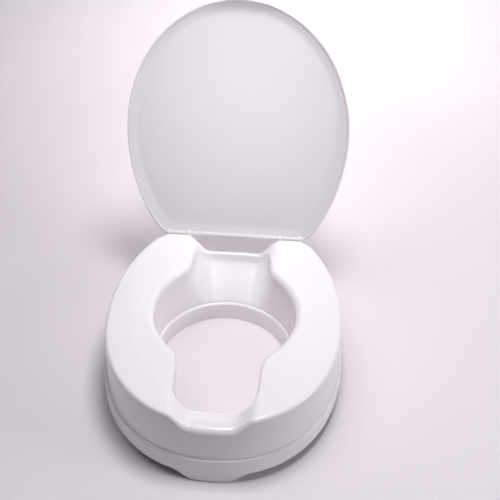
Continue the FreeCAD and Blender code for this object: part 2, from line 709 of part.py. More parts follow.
def make_hinge_screws():
    """Four screws, two behind each hinge clip."""
    screws = []
    for name, side in SIDES:
        for step in (0.5, -0.5):
            screws.append(make_screw(
                f"hinge_screw_{len(screws) + 1}",
                size("clip_centre") * side + size("screw_spacing") * step,
                size("widest_line") + size("seat_rear") + size("clip_proud"),
                size("seat_top") - size("clip_height") * 0.5, Vector(0, -1, 0)))
    return make_screw_group("hinge_screws", screws)


def make_rail_screws():
    """Eight screws, four under each clamp rail."""
    screws = []
    for _, side in SIDES:
        for place in ("rail_screw_inner", "rail_screw_outer"):
            for step in (1, -1):
                screws.append(make_screw(
                    f"rail_screw_{len(screws) + 1}", size(place) * side, size("rail_screw_side") * step,
                    size("rail_top") - size("rail_sheet"), Vector(0, 0, 1)))
    return make_screw_group("rail_screws", screws)


def make_rim_pad(name, x, y):
    """A round rubber pad with a stem that is pushed up into its boss."""
    disc = doc.addObject("Part::Cylinder", "disc_" + name)
    bind(disc, Radius=size("pad_radius"), Height=size("pad_thickness"))
    stem = doc.addObject("Part::Cylinder", "stem_" + name)
    bind(stem, Radius=size("pad_stem"), Height=size("pad_stem_length") + size("pad_thickness"))
    whole = doc.addObject("Part::Fuse", "rim_pad_" + name)
    whole.Label = "rim_pad_" + name
    whole.Base, whole.Tool = disc, stem
    bind(whole, Base_x=x, Base_y=y, Base_z=size("rib_bottom") - size("pad_thickness"))
    return whole


# ---------------------------------------------------------------- clamps

def make_clamp_rail(name):
    """The slotted plate that a clamp slides along."""
    body = new_body("clamp_rail_" + name)
    half = size("pocket_half") - size("rail_gap")
    plate = sketch_on(body, "XY_Plane", "rail_outline_" + name, size("rail_top") - size("rail_sheet"))
    add_polygon(plate, [(size("rail_inner"), -half), (size("rail_outer"), -half),
                        (size("rail_outer"), half), (size("rail_inner"), half)])
    feature(body, "Pad", "rail_plate_" + name, plate, size("rail_sheet"))
    slot_half = size("bolt") + size("slot_gap")
    slot = sketch_on(body, "XY_Plane", "slot_outline_" + name)
    near, far = size("bolt_place") - slot_half, size("bolt_place") + size("clamp_travel") + slot_half
    add_polygon(slot, [(near, -slot_half), (far, -slot_half), (far, slot_half), (near, slot_half)])
    feature(body, "Pocket", "slot_" + name, slot, size("rail_top") * 4, both_ways=True)
    screws = sketch_on(body, "XY_Plane", "rail_screw_holes_" + name)
    for place in ("rail_screw_inner", "rail_screw_outer"):
        for step in (1, -1):
            add_circle(screws, size(place), size("rail_screw_side") * step, size("screw_shank"))
    feature(body, "Pocket", "rail_screw_bores_" + name, screws, size("rail_top") * 4, both_ways=True)
    return body


def make_clamp_bracket(name):
    """An L-shaped bracket: an arm under the rail and a leg that hangs inside the bowl."""
    body = new_body("clamp_bracket_" + name)
    top, inner = size("arm_top"), size("leg_inner")
    low = top - size("arm_sheet")
    outer = size("bolt_place") + size("arm_overhang")
    arm = sketch_on(body, "XZ_Plane", "arm_outline_" + name)
    web = size("arm_sheet")
    add_polygon(arm, [(inner, low - web * 2), (inner + web, low - web * 2), (inner + web * 2, low),
                      (outer, low), (outer, top), (inner, top)])
    feature(body, "Pad", "arm_" + name, arm, size("arm_half") * 2, both_ways=True)
    leg = sketch_on(body, "YZ_Plane", "leg_outline_" + name, inner)
    wide, narrow = size("leg_half"), size("arm_half")
    bottom, shoulder = size("leg_bottom"), size("leg_shoulder")
    corner, taper = size("leg_corner"), size("leg_taper")
    add_polygon(leg, [(corner - wide, bottom), (wide - corner, bottom), (wide, bottom + corner),
                      (wide, shoulder - taper), (narrow, shoulder), (narrow, low), (-narrow, low),
                      (-narrow, shoulder), (-wide, shoulder - taper), (-wide, bottom + corner)])
    feature(body, "Pad", "leg_" + name, leg, size("arm_sheet"))
    hole = sketch_on(body, "XY_Plane", "bolt_hole_outline_" + name)
    add_circle(hole, size("bolt_place"), 0.0, size("bolt"))
    feature(body, "Pocket", "bolt_hole_" + name, hole, size("rail_top") * 4, both_ways=True)
    peg = sketch_on(body, "YZ_Plane", "peg_hole_outline_" + name)
    add_circle(peg, 0.0, size("grip_bottom") + size("grip_height") * 0.5, size("grip_peg"))
    feature(body, "Pocket", "peg_hole_" + name, peg, size("leg_inner") * 4, both_ways=True)
    return body


def make_clamp_grip(name):
    """A grooved rubber grip with a peg through the leg."""
    body = new_body("clamp_grip_" + name)
    inner = size("leg_inner") + size("arm_sheet")
    face, groove = inner + size("grip_thickness"), inner + size("grip_thickness") - size("grip_groove")
    low, pitch = size("grip_bottom"), size("grip_height") * 0.125
    corners = [(inner, low), (groove, low), (face, low + pitch * 0.5)]
    for step in (1, 3, 5):
        corners += [(face, low + pitch * step), (groove, low + pitch * (step + 0.5)),
                    (groove, low + pitch * (step + 1)), (face, low + pitch * (step + 1.5))]
    corners += [(face, low + pitch * 7.5), (groove, low + pitch * 8), (inner, low + pitch * 8)]
    block = sketch_on(body, "XZ_Plane", "grip_outline_" + name)
    add_polygon(block, corners)
    feature(body, "Pad", "grip_block_" + name, block, size("grip_half") * 2, both_ways=True)
    peg = sketch_on(body, "YZ_Plane", "grip_peg_outline_" + name, size("leg_inner"))
    add_circle(peg, 0.0, size("grip_bottom") + size("grip_height") * 0.5, size("grip_peg"))
    feature(body, "Pad", "grip_peg_" + name, peg, size("arm_sheet") + 1)
    return body


def make_clamp_bolt(name):
    """A carriage bolt: a domed head over the rail, a square neck in the slot, a round shank."""
    body = new_body("clamp_bolt_" + name)
    seat = size("rail_top") + size("slide_gap")
    neck = sketch_on(body, "XY_Plane", "neck_outline_" + name, size("rail_top") - size("rail_sheet"))
    near, far = size("bolt_place") - size("bolt"), size("bolt_place") + size("bolt")
    add_polygon(neck, [(near, -size("bolt")), (far, -size("bolt")), (far, size("bolt")),
                       (near, size("bolt"))])
    feature(body, "Pad", "neck_" + name, neck, size("rail_sheet") + size("slide_gap"))
    profile = sketch_on(body, "XZ_Plane", "bolt_outline_" + name)
    middle = size("bolt_place")
    crown, rim, chamfer = seat + size("bolt_head_height"), size("bolt_head_rim"), size("bolt_chamfer")
    shank, head, low = middle + size("bolt"), middle + size("bolt_head"), size("bolt_bottom")
    add_polygon(profile, [(middle, low), (shank - chamfer, low), (shank, low + chamfer), (shank, seat),
                          (head, seat), (head, seat + rim), (middle + size("bolt_head") * 0.75, crown - rim),
                          (middle + size("bolt_head") * 0.4, crown), (middle, crown)])
    axis = profile.addGeometry(Part.LineSegment(Vector(middle.number, 0, 0),
                                                Vector(middle.number, 10, 0)), True)
    pin_point(profile, axis, 1, middle, 0.0)
    pin_point(profile, axis, 2, middle, 10.0)
    turned = body.newObject("PartDesign::Revolution", "turned_" + name)
    turned.Profile = profile
    turned.ReferenceAxis = (profile, ["Axis0"])
    turned.Angle = 360
    return body


def make_clamp_washer(name):
    """A flat washer under the arm."""
    ring = doc.addObject("Part::Cylinder", "washer_disc_" + name)
    bind(ring, Radius=size("washer_radius"), Height=size("washer_sheet"))
    bore = doc.addObject("Part::Cylinder", "washer_bore_" + name)
    bind(bore, Radius=size("bolt"), Height=size("washer_sheet") * 3, Base_z=-size("washer_sheet"))
    washer = doc.addObject("Part::Cut", "clamp_washer_" + name)
    washer.Label = "clamp_washer_" + name
    washer.Base, washer.Tool = ring, bore
    side = dict(SIDES)[name]
    bind(washer, Base_x=size("bolt_place") * side, Base_z=size("washer_bottom"))
    return washer


def make_clamp_knob(name):
    """A round hand knob with scallops, threaded on the bolt from below."""
    body = new_body("clamp_knob_" + name)
    height = size("knob_height")
    disc = sketch_on(body, "XY_Plane", "knob_outline_" + name)
    add_circle(disc, 0.0, 0.0, size("knob_radius"))
    feature(body, "Pad", "knob_disc_" + name, disc, height)
    bore = sketch_on(body, "XY_Plane", "knob_bore_outline_" + name)
    add_circle(bore, 0.0, 0.0, size("bolt") + size("thread_clearance"))
    feature(body, "Pocket", "knob_bore_" + name, bore, height * 4, both_ways=True)
    scallop = sketch_on(body, "XY_Plane", "scallop_outline_" + name)
    add_circle(scallop, size("knob_radius") + size("knob_scallop_out"), 0.0, size("knob_scallop"))
    cut = feature(body, "Pocket", "scallop_" + name, scallop, height * 4, both_ways=True)
    doc.recompute()
    pattern = body.newObject("PartDesign::PolarPattern", "scallops_" + name)
    pattern.Originals = [cut]
    pattern.Axis = (disc, ["N_Axis"])
    pattern.Angle = 360
    pattern.Occurrences = 8
    body.Tip = pattern
    side = dict(SIDES)[name]
    bind(body, Base_x=size("bolt_place") * side, Base_z=size("knob_bottom"))
    return body


# ---------------------------------------------------------------- the whole

def make_all():
    """Every sub-part, each one document object whose label names its file."""
    lid = shape_feature("lid", make_lid())
    lid.Placement = Placement(hinge_point(), Rotation(Vector(1, 0, 0), -mm("lid_open_angle")))
    parts = [shape_feature("seat_shell", make_seat_shell()), shape_feature("bowl_collar", make_collar()),
             lid, make_hinge_screws(), make_rail_screws()]
    for name, side in SIDES:
        half_turn = Placement(Vector(0, 0, 0), Rotation(Vector(0, 0, 1), 0 if side > 0 else 180))
        parts.append(make_hinge_clip(name, side))
        for make in (make_clamp_rail, make_clamp_bracket, make_clamp_grip, make_clamp_bolt):
            piece = make(name)
            piece.Placement = half_turn
            parts.append(piece)
        parts += [make_clamp_washer(name), make_clamp_knob(name)]
        parts.append(make_rim_pad("rear_" + name, size("pad_rear_x") * side, size("pad_rear_y")))
        parts.append(make_rim_pad("front_" + name, size("pad_front_x") * side, -size("pad_front_y")))
    return parts


def check_and_write(parts):
    """Stop on any failed object or bad shape, then write each sub-part to its own file."""
    doc.recompute()
    failed = [item.Name for item in doc.Objects if "Invalid" in item.State or "Error" in item.State]
    if failed:
        raise RuntimeError(f"objects that failed: {failed}")
    for part in parts:
        if part.Shape.isNull() or not part.Shape.isValid() or not part.Shape.Solids:
            raise RuntimeError(f"{part.Label} has no valid solid")
    os.makedirs("parts", exist_ok=True)
    for part in parts:
        part.Shape.exportStep(f"parts/{part.Label}.step")
        box = part.Shape.BoundBox
        print(f"{part.Label}: {len(part.Shape.Solids)} solid(s), {part.Shape.Volume / 1000:.1f} cm3, "
              f"x {box.XMin:.1f}..{box.XMax:.1f} y {box.YMin:.1f}..{box.YMax:.1f} "
              f"z {box.ZMin:.1f}..{box.ZMax:.1f}")


check_and_write(make_all())
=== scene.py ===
"""Raised toilet seat with a hinged lid: the visible pieces, laid out as an add-on for the 3D view.

The packed model is the frame. Every piece is made in its place, in metres, and rides on one of its bodies.
"""
import json
import math

import bmesh
import bpy
from bpy.props import FloatProperty, FloatVectorProperty, PointerProperty
from mathutils import Matrix, Vector


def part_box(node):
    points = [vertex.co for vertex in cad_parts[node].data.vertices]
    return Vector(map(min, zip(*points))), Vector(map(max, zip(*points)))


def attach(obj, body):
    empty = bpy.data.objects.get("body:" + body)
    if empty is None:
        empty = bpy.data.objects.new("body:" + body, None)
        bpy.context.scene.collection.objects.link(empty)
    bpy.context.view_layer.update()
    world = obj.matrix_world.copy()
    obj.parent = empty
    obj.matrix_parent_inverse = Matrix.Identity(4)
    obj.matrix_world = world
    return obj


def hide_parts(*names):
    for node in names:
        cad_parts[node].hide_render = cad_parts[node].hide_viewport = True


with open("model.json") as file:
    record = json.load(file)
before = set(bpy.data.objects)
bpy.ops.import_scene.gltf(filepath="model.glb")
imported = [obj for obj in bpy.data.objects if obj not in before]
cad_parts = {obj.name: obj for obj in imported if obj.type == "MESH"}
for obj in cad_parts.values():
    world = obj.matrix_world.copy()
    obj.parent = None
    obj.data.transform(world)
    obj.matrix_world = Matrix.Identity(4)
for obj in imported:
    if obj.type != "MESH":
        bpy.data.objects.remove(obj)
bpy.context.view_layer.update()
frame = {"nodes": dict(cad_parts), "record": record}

bl_info = {
    "name": "Raised toilet seat",
    "version": (1, 0, 0),
    "blender": (4, 5, 0),
    "location": "3D View > Sidebar > Raised seat",
    "description": "Builds a moulded raised toilet seat, its lid, clips, pads and clamps",
    "category": "Add Mesh",
}

MM = 0.001
SIDES = (("left", 1), ("right", -1))
TURN_STEPS = 144
RIB_ANGLES = (27, 45, 63, 81, 99, 117, 135, 153)
SLOT_SQUARENESS = 9
BLEND_SHARPNESS = 12
SEAT_CORNER_SHARPNESS = 50
LID_CORNER_SHARPNESS = 80
CROWDING = 0.35
FRONT_DIP_START, FRONT_DIP_RUN = 125 * MM, 40 * MM
REAR_DIP_START, REAR_DIP_RUN = 122 * MM, 30 * MM
DECK_STEPS = 13
DECK_SAG = 1.6 * MM
PANEL_FADE_TOP, PANEL_FADE = 66 * MM, 25 * MM
WALL_STEPS = 18
NOISE = "ShaderNodeTexNoise"
UPRIGHT = Matrix(((0, 0, 1, 0), (1, 0, 0, 0), (0, 1, 0, 0), (0, 0, 0, 1)))


# ---------------------------------------------------------------- settings

def length(name, millimetres, description):
    """A length property, given in millimetres."""
    return FloatProperty(name=name, description=description, default=millimetres * MM,
                         unit="LENGTH", subtype="DISTANCE", min=0.0, precision=5)


def angle(name, degrees, description):
    """An angle property, given in degrees."""
    return FloatProperty(name=name, description=description, default=math.radians(degrees),
                         unit="ROTATION", subtype="ANGLE")


def linear(code):
    """An sRGB hex colour as linear red, green and blue."""
    channels = [int(code[start:start + 2], 16) / 255 for start in (0, 2, 4)]
    return [c / 12.92 if c <= 0.04045 else ((c + 0.055) / 1.055) ** 2.4 for c in channels]


def colour(name, code, description):
    """A colour property, given as an sRGB hex code."""
    return FloatVectorProperty(name=name, description=description, default=linear(code),
                               subtype="COLOR", size=3, min=0.0, max=1.0)


def top_of(node):
    """Height of a node's highest point, in millimetres."""
    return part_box(node)[1][2] / MM


class SeatSizes(bpy.types.PropertyGroup):
    """The moulded seat."""
    half_width: length("Half width", 180, "Half width of the sitting surface")
    front: length("Front", 216, "Widest line to the front edge")
    rear: length("Rear", 177, "Widest line to the straight rear edge")
    rear_half: length("Rear edge", 126, "Half length of the straight rear edge")
    fullness: FloatProperty(name="Fullness", description="Fullness of the front: 2 is an ellipse",
                            default=2.2, min=1.5, max=4)
    widest: length("Widest line", 5, "How far behind the middle the seat is widest")
    top: length("Top", top_of("seat_shell"), "Height of the sitting surface")
    wall: length("Wall", 3.5, "Thickness of the moulding")
    edge_round: length("Outer edge", 5.5, "Radius of the outer top edge")
    dip_round: length("Dip edge", 9, "Radius of the outer top edge in the front dip")
    rim_round: length("Opening edge", 10, "Radius of the edge of the opening")
    ledge: length("Ledge", 44, "Height of the ledge round the outer wall")
    ledge_out: length("Ledge step", 7, "How far the ledge stands out")
    ledge_round: length("Ledge edge", 1.8, "Radius of the ledge's outer edge")
    draft: length("Draft", 3, "How far the wall leans out at the ledge")
    flare: length("Skirt flare", 3, "How far the skirt leans out below the ledge")
    skirt_side: length("Skirt at the sides", 26, "Height of the skirt's lower edge at the sides")
    skirt_front: length("Skirt at the front", 16, "Height of the skirt's lower edge beside the lobe")
    lobe_low: length("Lobe", 2, "Height of the front lobe's lower edge")
    lobe_half: length("Lobe half width", 22, "Half width of the lobe's flat lower edge")
    lobe_reach: length("Lobe shoulder", 34, "Width of the lobe's curved shoulder")
    bowl: length("Opening radius", 110, "Radius of the round part of the opening")
    bowl_back: length("Opening offset", 8, "How far behind the middle that part is centred")
    front_slot: length("Front slot", 60, "Half width of the opening's front slot")
    front_end: length("Front end", 171.5, "Middle to the front end of the opening")
    rear_slot: length("Rear slot", 64, "Half width of the opening's rear slot")
    rear_end: length("Rear end", 172, "Middle to the rear end of the opening")
    bend: length("Bend", 88, "Height at which the opening's wall leans in")
    front_dip: length("Front dip", 19, "Depth of the front dip")
    front_dip_half: length("Front dip floor", 31, "Half width of the front dip's floor")
    front_dip_reach: length("Front dip shoulder", 31, "Width of the front dip's shoulder")
    rear_dip: length("Rear dip", 31, "Depth of the rear dip")
    rear_dip_half: length("Rear dip floor", 41, "Half width of the rear dip's floor")
    rear_dip_reach: length("Rear dip shoulder", 36, "Width of the rear dip's shoulder")
    panel_half: length("Rear panel", 39, "Half width of the flat panel in the rear wall")
    panel_depth: length("Rear panel depth", 2.2, "How far that panel is let into the wall")
    rib: length("Rib", 2.5, "Thickness of a rib")
    rib_low: length("Rib edge", 25, "Height of the ribs' lower edges")
    pocket_half: length("Pocket", 25.5, "Half width of the pocket for a clamp")
    pad_boss: length("Pad boss", 9, "Radius of the boss over a rubber pad")
    rail_boss: length("Rail boss", 5, "Radius of the boss over a rail screw")


class CollarSizes(bpy.types.PropertyGroup):
    """The oval collar that goes down into the bowl."""
    half: length("Half width", 107, "Inner half width")
    rear: length("Rear", 107, "Middle to the inner face at the rear")
    front: length("Front", 148, "Middle to the inner face at the front")
    height: length("Height", top_of("bowl_collar"), "Height of the collar")
    wall: length("Wall", 3, "Thickness of the collar")
    bead: length("Bead", 2.6, "How far the bead stands out")
    bead_height: length("Bead height", 4, "Height of the bead")


class LidSizes(bpy.types.PropertyGroup):
    """The lid and its hinge."""
    half_width: length("Half width", 180.3, "Half width of the lid")
    front: length("Front", 216.3, "Widest line to the front edge")
    rear: length("Rear", 178, "Hinge line to the widest line")
    rear_half: length("Rear edge", 126, "Half length of the straight rear edge")
    fullness: FloatProperty(name="Fullness", description="Fullness of the front: 2 is an ellipse",
                            default=2.0, min=1.5, max=4)
    sheet: length("Sheet", 2.4, "Thickness of the lid")
    bead: length("Rim bead", 3.4, "Width of the bead round the rim")
    bead_height: length("Rim height", 3.2, "Height of the bead round the rim")
    band: length("Band", 13, "Width of the sloped band inside the rim")
    rise: length("Rise", 5.6, "How far the band lifts the middle of the lid")
    low: length("Gap", 0.45, "Gap between the shut lid and the seat")
    crease: length("Crease", 379, "Hinge line to the crease near the front")
    rod: length("Hinge rod", 3.2, "Radius of the hinge rod")
    rod_half: length("Rod half length", 121, "Half length of the hinge rod")
    ear: length("Ear", 3, "Thickness of a clip's ear")
    ear_gap: length("Ear gap", 0.4, "Gap beside an ear in the lid's slot")
    eye_wall: length("Eye wall", 2.5, "Wall of a clip's eye")
    eye_gap: length("Eye gap", 0.8, "Gap round an eye in the lid's slot")
    ear_spacing: length("Ear spacing", 34, "Distance between a clip's two ears")
    crease_angle: angle("Crease angle", 20, "How far the front of the lid bends down")
    open_angle: angle("Open angle", 102.6, "Angle of the open lid from shut")


class Finishes(bpy.types.PropertyGroup):
    """Colours of the finishes."""
    white: colour("White plastic", "F4F0F4", "Moulded polypropylene")
    clip: colour("Clip plastic", "F6F3F6", "Moulded acetal")
    rubber: colour("Rubber", "5B5C60", "Grey rubber")
    knob: colour("Knob", "7C8085", "Grained grey plastic")
    steel: colour("Steel", "BDBDBA", "Zinc-plated steel")
    floor: colour("Floor", "EDE6EC", "Seamless paper")


class StageSizes(bpy.types.PropertyGroup):
    """Camera, floor and lights."""
    camera_place: FloatVectorProperty(name="Camera", description="Camera position", size=3,
                                      default=(0.0712, -0.8179, 0.9329), unit="LENGTH",
                                      subtype="TRANSLATION")
    yaw: angle("Yaw", -2.47, "Camera turn to the right of straight ahead")
    pitch: angle("Pitch", -39.91, "Camera tilt above level")
    roll: angle("Roll", 1.88, "Camera roll")
    focal: FloatProperty(name="Lens", description="Focal length in millimetres", default=53.74)
    wide: FloatProperty(name="Floor", description="Half width of the floor", default=3.0, unit="LENGTH")
    back: FloatProperty(name="Backdrop", description="Distance to the backdrop", default=1.6,
                        unit="LENGTH")


# ---------------------------------------------------------------- outlines and sections

def ellipse_reach(turn, across, along, back):
    """Distance from the middle to an ellipse that is centred so far back."""
    c, s = math.cos(turn), math.sin(turn)
    a = (c / across) ** 2 + (s / along) ** 2
    b = -2 * back * s / along ** 2
    return (-b + math.sqrt(b * b - 4 * a * ((back / along) ** 2 - 1))) / (2 * a)


def front_reach(turn, half, front, fullness, back):
    """Distance to the front half of an egg, found by halving; fullness 2 is an ellipse."""
    c, s = abs(math.cos(turn)), math.sin(turn)
    low, high = 0.0, 2 * front
    for _ in range(40):
        reach = (low + high) / 2
        if (reach * c / half) ** fullness + (abs(reach * s - back) / front) ** fullness < 1:
            low = reach
        else:
            high = reach
    return reach


def egg_reach(turn, shape, back, grow, sharpness):
    """Distance to an egg with a straight rear edge; the higher the sharpness, the tighter its corners."""
    half, rear, rear_half = shape.half_width + grow, shape.rear + grow, shape.rear_half + grow
    depth = rear / math.sqrt(1 - (rear_half / half) ** 2)
    behind = ellipse_reach(turn, half, depth, back)
    if behind * math.sin(turn) < back:
        return front_reach(turn, half, shape.front + grow, shape.fullness, back)
    edge = (rear + back) / max(math.sin(turn), 0.05)
    return edge * (1 + (edge / behind) ** sharpness) ** (-1 / sharpness)


def opening_reach(turn, seat, grow=0.0):
    """Distance to the edge of the opening: a round bowl blended with a front and a rear slot."""
    across, along = abs(math.cos(turn)), math.sin(turn)
    radius = seat.bowl + grow
    bowl = seat.bowl_back * along + math.sqrt(radius ** 2 - (seat.bowl_back * across) ** 2)
    half, end = (seat.rear_slot, seat.rear_end) if along > 0 else (seat.front_slot, seat.front_end)
    slot = ((across / (half + grow)) ** SLOT_SQUARENESS
            + (abs(along) / (end + grow)) ** SLOT_SQUARENESS) ** (-1 / SLOT_SQUARENESS)
    return slot * (1 + (bowl / slot) ** BLEND_SHARPNESS) ** (1 / BLEND_SHARPNESS)


def collar_reach(turn, collar, grow=0.0):
    """Distance to the collar's inner face, an oval that is longer in front."""
    end = collar.rear if math.sin(turn) > 0 else collar.front
    return 1 / math.hypot(math.cos(turn) / (collar.half + grow), math.sin(turn) / (end + grow))


def smooth(share):
    """A smooth step from 0 to 1."""
    share = min(max(share, 0.0), 1.0)
    return share * share * (3 - 2 * share)


def swell(share):
    """A round step from 0 to 1, level at both ends."""
    return (1 - math.cos(math.pi * min(max(share, 0.0), 1.0))) / 2


def turns(steps):
    """Angles round the opening from its rear, closer together at the two slots."""
    return [math.pi / 2 + math.pi * k / steps - CROWDING * math.sin(2 * math.pi * k / steps)
            for k in range(2 * steps)]


def quarter(steps, first=1):
    """Sine and cosine at even steps through a right angle."""
    leans = [math.pi / 2 * step / steps for step in range(first, steps + 1)]
    return [(math.sin(lean), math.cos(lean)) for lean in leans]


def deck_height(seat, x, y):
    """Height of the sitting surface, with its front and rear dips."""
    front = 1 - swell((abs(x) - seat.front_dip_half) / seat.front_dip_reach)
    rear = 1 - swell((abs(x) - seat.rear_dip_half) / seat.rear_dip_reach)
    front *= smooth((-y - FRONT_DIP_START) / FRONT_DIP_RUN)
    rear *= smooth((y - REAR_DIP_START) / REAR_DIP_RUN)
    return seat.top - seat.front_dip * front - seat.rear_dip * rear


def skirt_height(seat, x, y):
    """Height of the skirt's lower edge: it dips into a lobe at the front."""
    slope = min(max((y + seat.front) / (seat.front + seat.widest), 0.0), 1.0)
    edge = seat.skirt_front + (seat.skirt_side - seat.skirt_front) * slope
    if y > 0:
        return edge
    lobe = 1 - swell((abs(x) - seat.lobe_half) / seat.lobe_reach)
    return edge + (seat.lobe_low - edge) * lobe


def shell_section(seat, collar, turn):
    """The shell's outer skin in one direction, from the skirt up, over and down the opening's wall.

    Each entry is a distance from the middle and a height.
    """
    c, s = math.cos(turn), math.sin(turn)

    def egg(grow):
        return egg_reach(turn, seat, seat.widest, grow, SEAT_CORNER_SHARPNESS)

    rim, edge = egg(0), opening_reach(turn, seat)
    beside = smooth((seat.panel_half + 3 * MM - abs(edge * c)) / (6 * MM)) if s > 0.6 else 0
    panel = seat.panel_depth * beside
    edge += panel
    width = rim - edge
    dipped = (seat.top - deck_height(seat, rim * c, rim * s)) / seat.front_dip if s < 0 else 0
    outer_round = min(seat.edge_round + (seat.dip_round - seat.edge_round) * dipped, 0.42 * width)
    inner_round = min(seat.rim_round, 0.46 * width)
    deck_outer = deck_height(seat, rim * c, rim * s)
    low = skirt_height(seat, rim * c, rim * s)
    ledge, ledge_out, bead = seat.ledge, seat.ledge_out, seat.ledge_round
    section = []
    for share in (0, 0.15, 0.4, 0.7, 1):
        z = low + (ledge - bead - low) * share
        section.append((egg(ledge_out + seat.flare * (ledge - z) / ledge), z))
    for sine, cosine in quarter(4):
        section.append((egg(ledge_out - bead * (1 - cosine)), ledge - bead * (1 - sine)))
    foot = 0.8 * MM
    section.append((egg(seat.draft + foot), ledge + 0.1 * MM))
    section.append((egg(seat.draft + 0.3 * foot), ledge + 0.4 * foot))
    wall_top = deck_outer - outer_round
    for share in (0, 0.1, 0.25, 0.42, 0.6, 0.78, 0.92):
        z = ledge + foot + (wall_top - ledge - foot) * share
        section.append((egg(seat.draft * (1 - share)), z))
    for sine, cosine in quarter(7, 0):
        section.append((egg(-outer_round * (1 - cosine)), wall_top + outer_round * sine))
    start, stop = section[-1][0], edge + inner_round
    for step in range(1, DECK_STEPS):
        share = step / DECK_STEPS
        reach = start + (stop - start) * share
        sag = DECK_SAG * smooth((share - 0.45) / 0.55) * min(width / (60 * MM), 1)
        section.append((reach, deck_height(seat, reach * c, reach * s) - sag))
    lip = section[-1][1]
    for sine, cosine in quarter(8, 0):
        section.append((edge + inner_round * (1 - sine), lip - inner_round * (1 - cosine)))
    foot_reach = collar_reach(turn, collar, collar.wall + collar.bead + 0.3 * MM)
    wall_low = lip - inner_round
    # Where the rim is low, the wall stays upright further down before it leans in.
    bend = min(seat.bend, lip - 20 * MM) + 6 * MM
    for step in range(1, WALL_STEPS + 1):
        z = wall_low + (collar.height - 1 * MM - wall_low) * step / WALL_STEPS
        lean_in = (bend - z) / (bend - collar.height)
        share = min(max(0.5 * (lean_in + math.sqrt(lean_in ** 2 + 0.012)), 0), 1)
        reach = edge + (foot_reach - edge) * share
        section.append((reach - panel * smooth((PANEL_FADE_TOP - z) / PANEL_FADE) * (1 - share), z))
    section.append((foot_reach, collar.height - 4 * MM))
    section.append((foot_reach, seat.rib_low))
    return section


# ---------------------------------------------------------------- mesh helpers

def ringed(angles, rings, place, closed=False):
    """A skin through rings of points: each ring is extruded from the one before and moved into place.

    place(turn, ring) gives a point; closed joins the last ring to the first.
    """
    bm = bmesh.new()
    mark = bm.verts.layers.float.new("turn")
    verts = bmesh.ops.create_circle(bm, segments=len(angles), radius=1)["verts"]
    for vert, turn in zip(verts, angles):
        vert[mark] = turn
    edges = bm.edges[:]
    first = edges
    for vert in verts:
        vert.co = place(vert[mark], 0)
    for ring in range(1, rings):
        grown = bmesh.ops.extrude_edge_only(bm, edges=edges)["geom"]
        verts = [item for item in grown if isinstance(item, bmesh.types.BMVert)]
        fresh = set(verts)
        edges = [item for item in grown if isinstance(item, bmesh.types.BMEdge)
                 and item.verts[0] in fresh and item.verts[1] in fresh]
        for vert in verts:
            vert.co = place(vert[mark], ring)
    if closed:
        bmesh.ops.bridge_loops(bm, edges=first + edges)
    bmesh.ops.recalc_face_normals(bm, faces=bm.faces)
    return bm


def turned(profile, steps=48):
    """A solid of revolution round the Z axis from a profile of radius and height, poles closed."""
    bm = bmesh.new()
    verts = [bm.verts.new((radius, 0, height)) for radius, height in profile]
    edges = [bm.edges.new(pair) for pair in zip(verts, verts[1:])]
    bmesh.ops.spin(bm, geom=verts + edges, axis=(0, 0, 1), cent=(0, 0, 0), steps=steps,
                   angle=math.tau, use_merge=True)
    bmesh.ops.remove_doubles(bm, verts=bm.verts, dist=1e-6)
    bmesh.ops.recalc_face_normals(bm, faces=bm.faces)
    return bm


def slab(outline, thickness, round_mm=0.4):
    """A flat plate: an outline in the XY plane, given thickness upwards and its edges eased."""
    bm = bmesh.new()
    face = bm.faces.new([bm.verts.new((x, y, 0)) for x, y in outline])
    grown = bmesh.ops.extrude_face_region(bm, geom=[face])["geom"]
    tops = [item for item in grown if isinstance(item, bmesh.types.BMVert)]
    bmesh.ops.translate(bm, verts=tops, vec=(0, 0, thickness))
    bmesh.ops.recalc_face_normals(bm, faces=bm.faces)
    ease(bm, round_mm)
    return bm


def ease(bm, round_mm, sharper=35):
    """Round every edge that turns by more than so many degrees."""
    edges = [e for e in bm.edges if len(e.link_faces) == 2
             and e.calc_face_angle(0) > math.radians(sharper)]
    bmesh.ops.bevel(bm, geom=edges, offset=round_mm * MM, affect="EDGES", segments=2, profile=0.5,
                    material=-1, clamp_overlap=True)


def block(low, high, round_mm=0.4):
    """A box between two corners, its edges eased."""
    bm = bmesh.new()
    bmesh.ops.create_cube(bm, size=1)
    span = Vector(high) - Vector(low)
    bmesh.ops.scale(bm, vec=span, verts=bm.verts)
    bmesh.ops.translate(bm, vec=(Vector(high) + Vector(low)) / 2, verts=bm.verts)
    ease(bm, round_mm)
    return bm


def moved(bm, matrix):
    """The mesh after a move, facing outwards."""
    bmesh.ops.transform(bm, matrix=matrix, verts=bm.verts)
    if matrix.determinant() < 0:
        bmesh.ops.reverse_faces(bm, faces=bm.faces)
    return bm


def as_object(name, solids, kind, smooth_under=40):
    """One object from one or more meshes, linked to the scene and given its kind of finish."""
    mesh = bpy.data.meshes.new(name)
    whole = bmesh.new()
    for bm in solids:
        part = bpy.data.meshes.new("part")
        bm.to_mesh(part)
        bm.free()
        whole.from_mesh(part)
        bpy.data.meshes.remove(part)
    whole.to_mesh(mesh)
    whole.free()
    mesh.shade_smooth()
    mesh.set_sharp_from_angle(angle=math.radians(smooth_under))
    mesh.materials.append(finish(kind))
    piece = bpy.data.objects.new(name, mesh)
    bpy.context.collection.objects.link(piece)
    return piece


def settle(piece, body, kind, *nodes):
    """Let a piece ride on its body in place of its CAD nodes."""
    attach(piece, body)
    if nodes:
        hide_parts(*nodes)


def make(name, solids, kind, body, *nodes, smooth_under=40):
    """A piece that is made and settled in one go."""
    piece = as_object(name, solids, kind, smooth_under)
    settle(piece, body, kind, *nodes)
    return piece


def corners(node, sign=1):
    """A node's lowest and highest corners; with a sign of -1, those of its mirror image across X."""
    low, high = (Vector(corner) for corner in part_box(node))
    if sign < 0:
        low.x, high.x = -high.x, -low.x
    return low, high


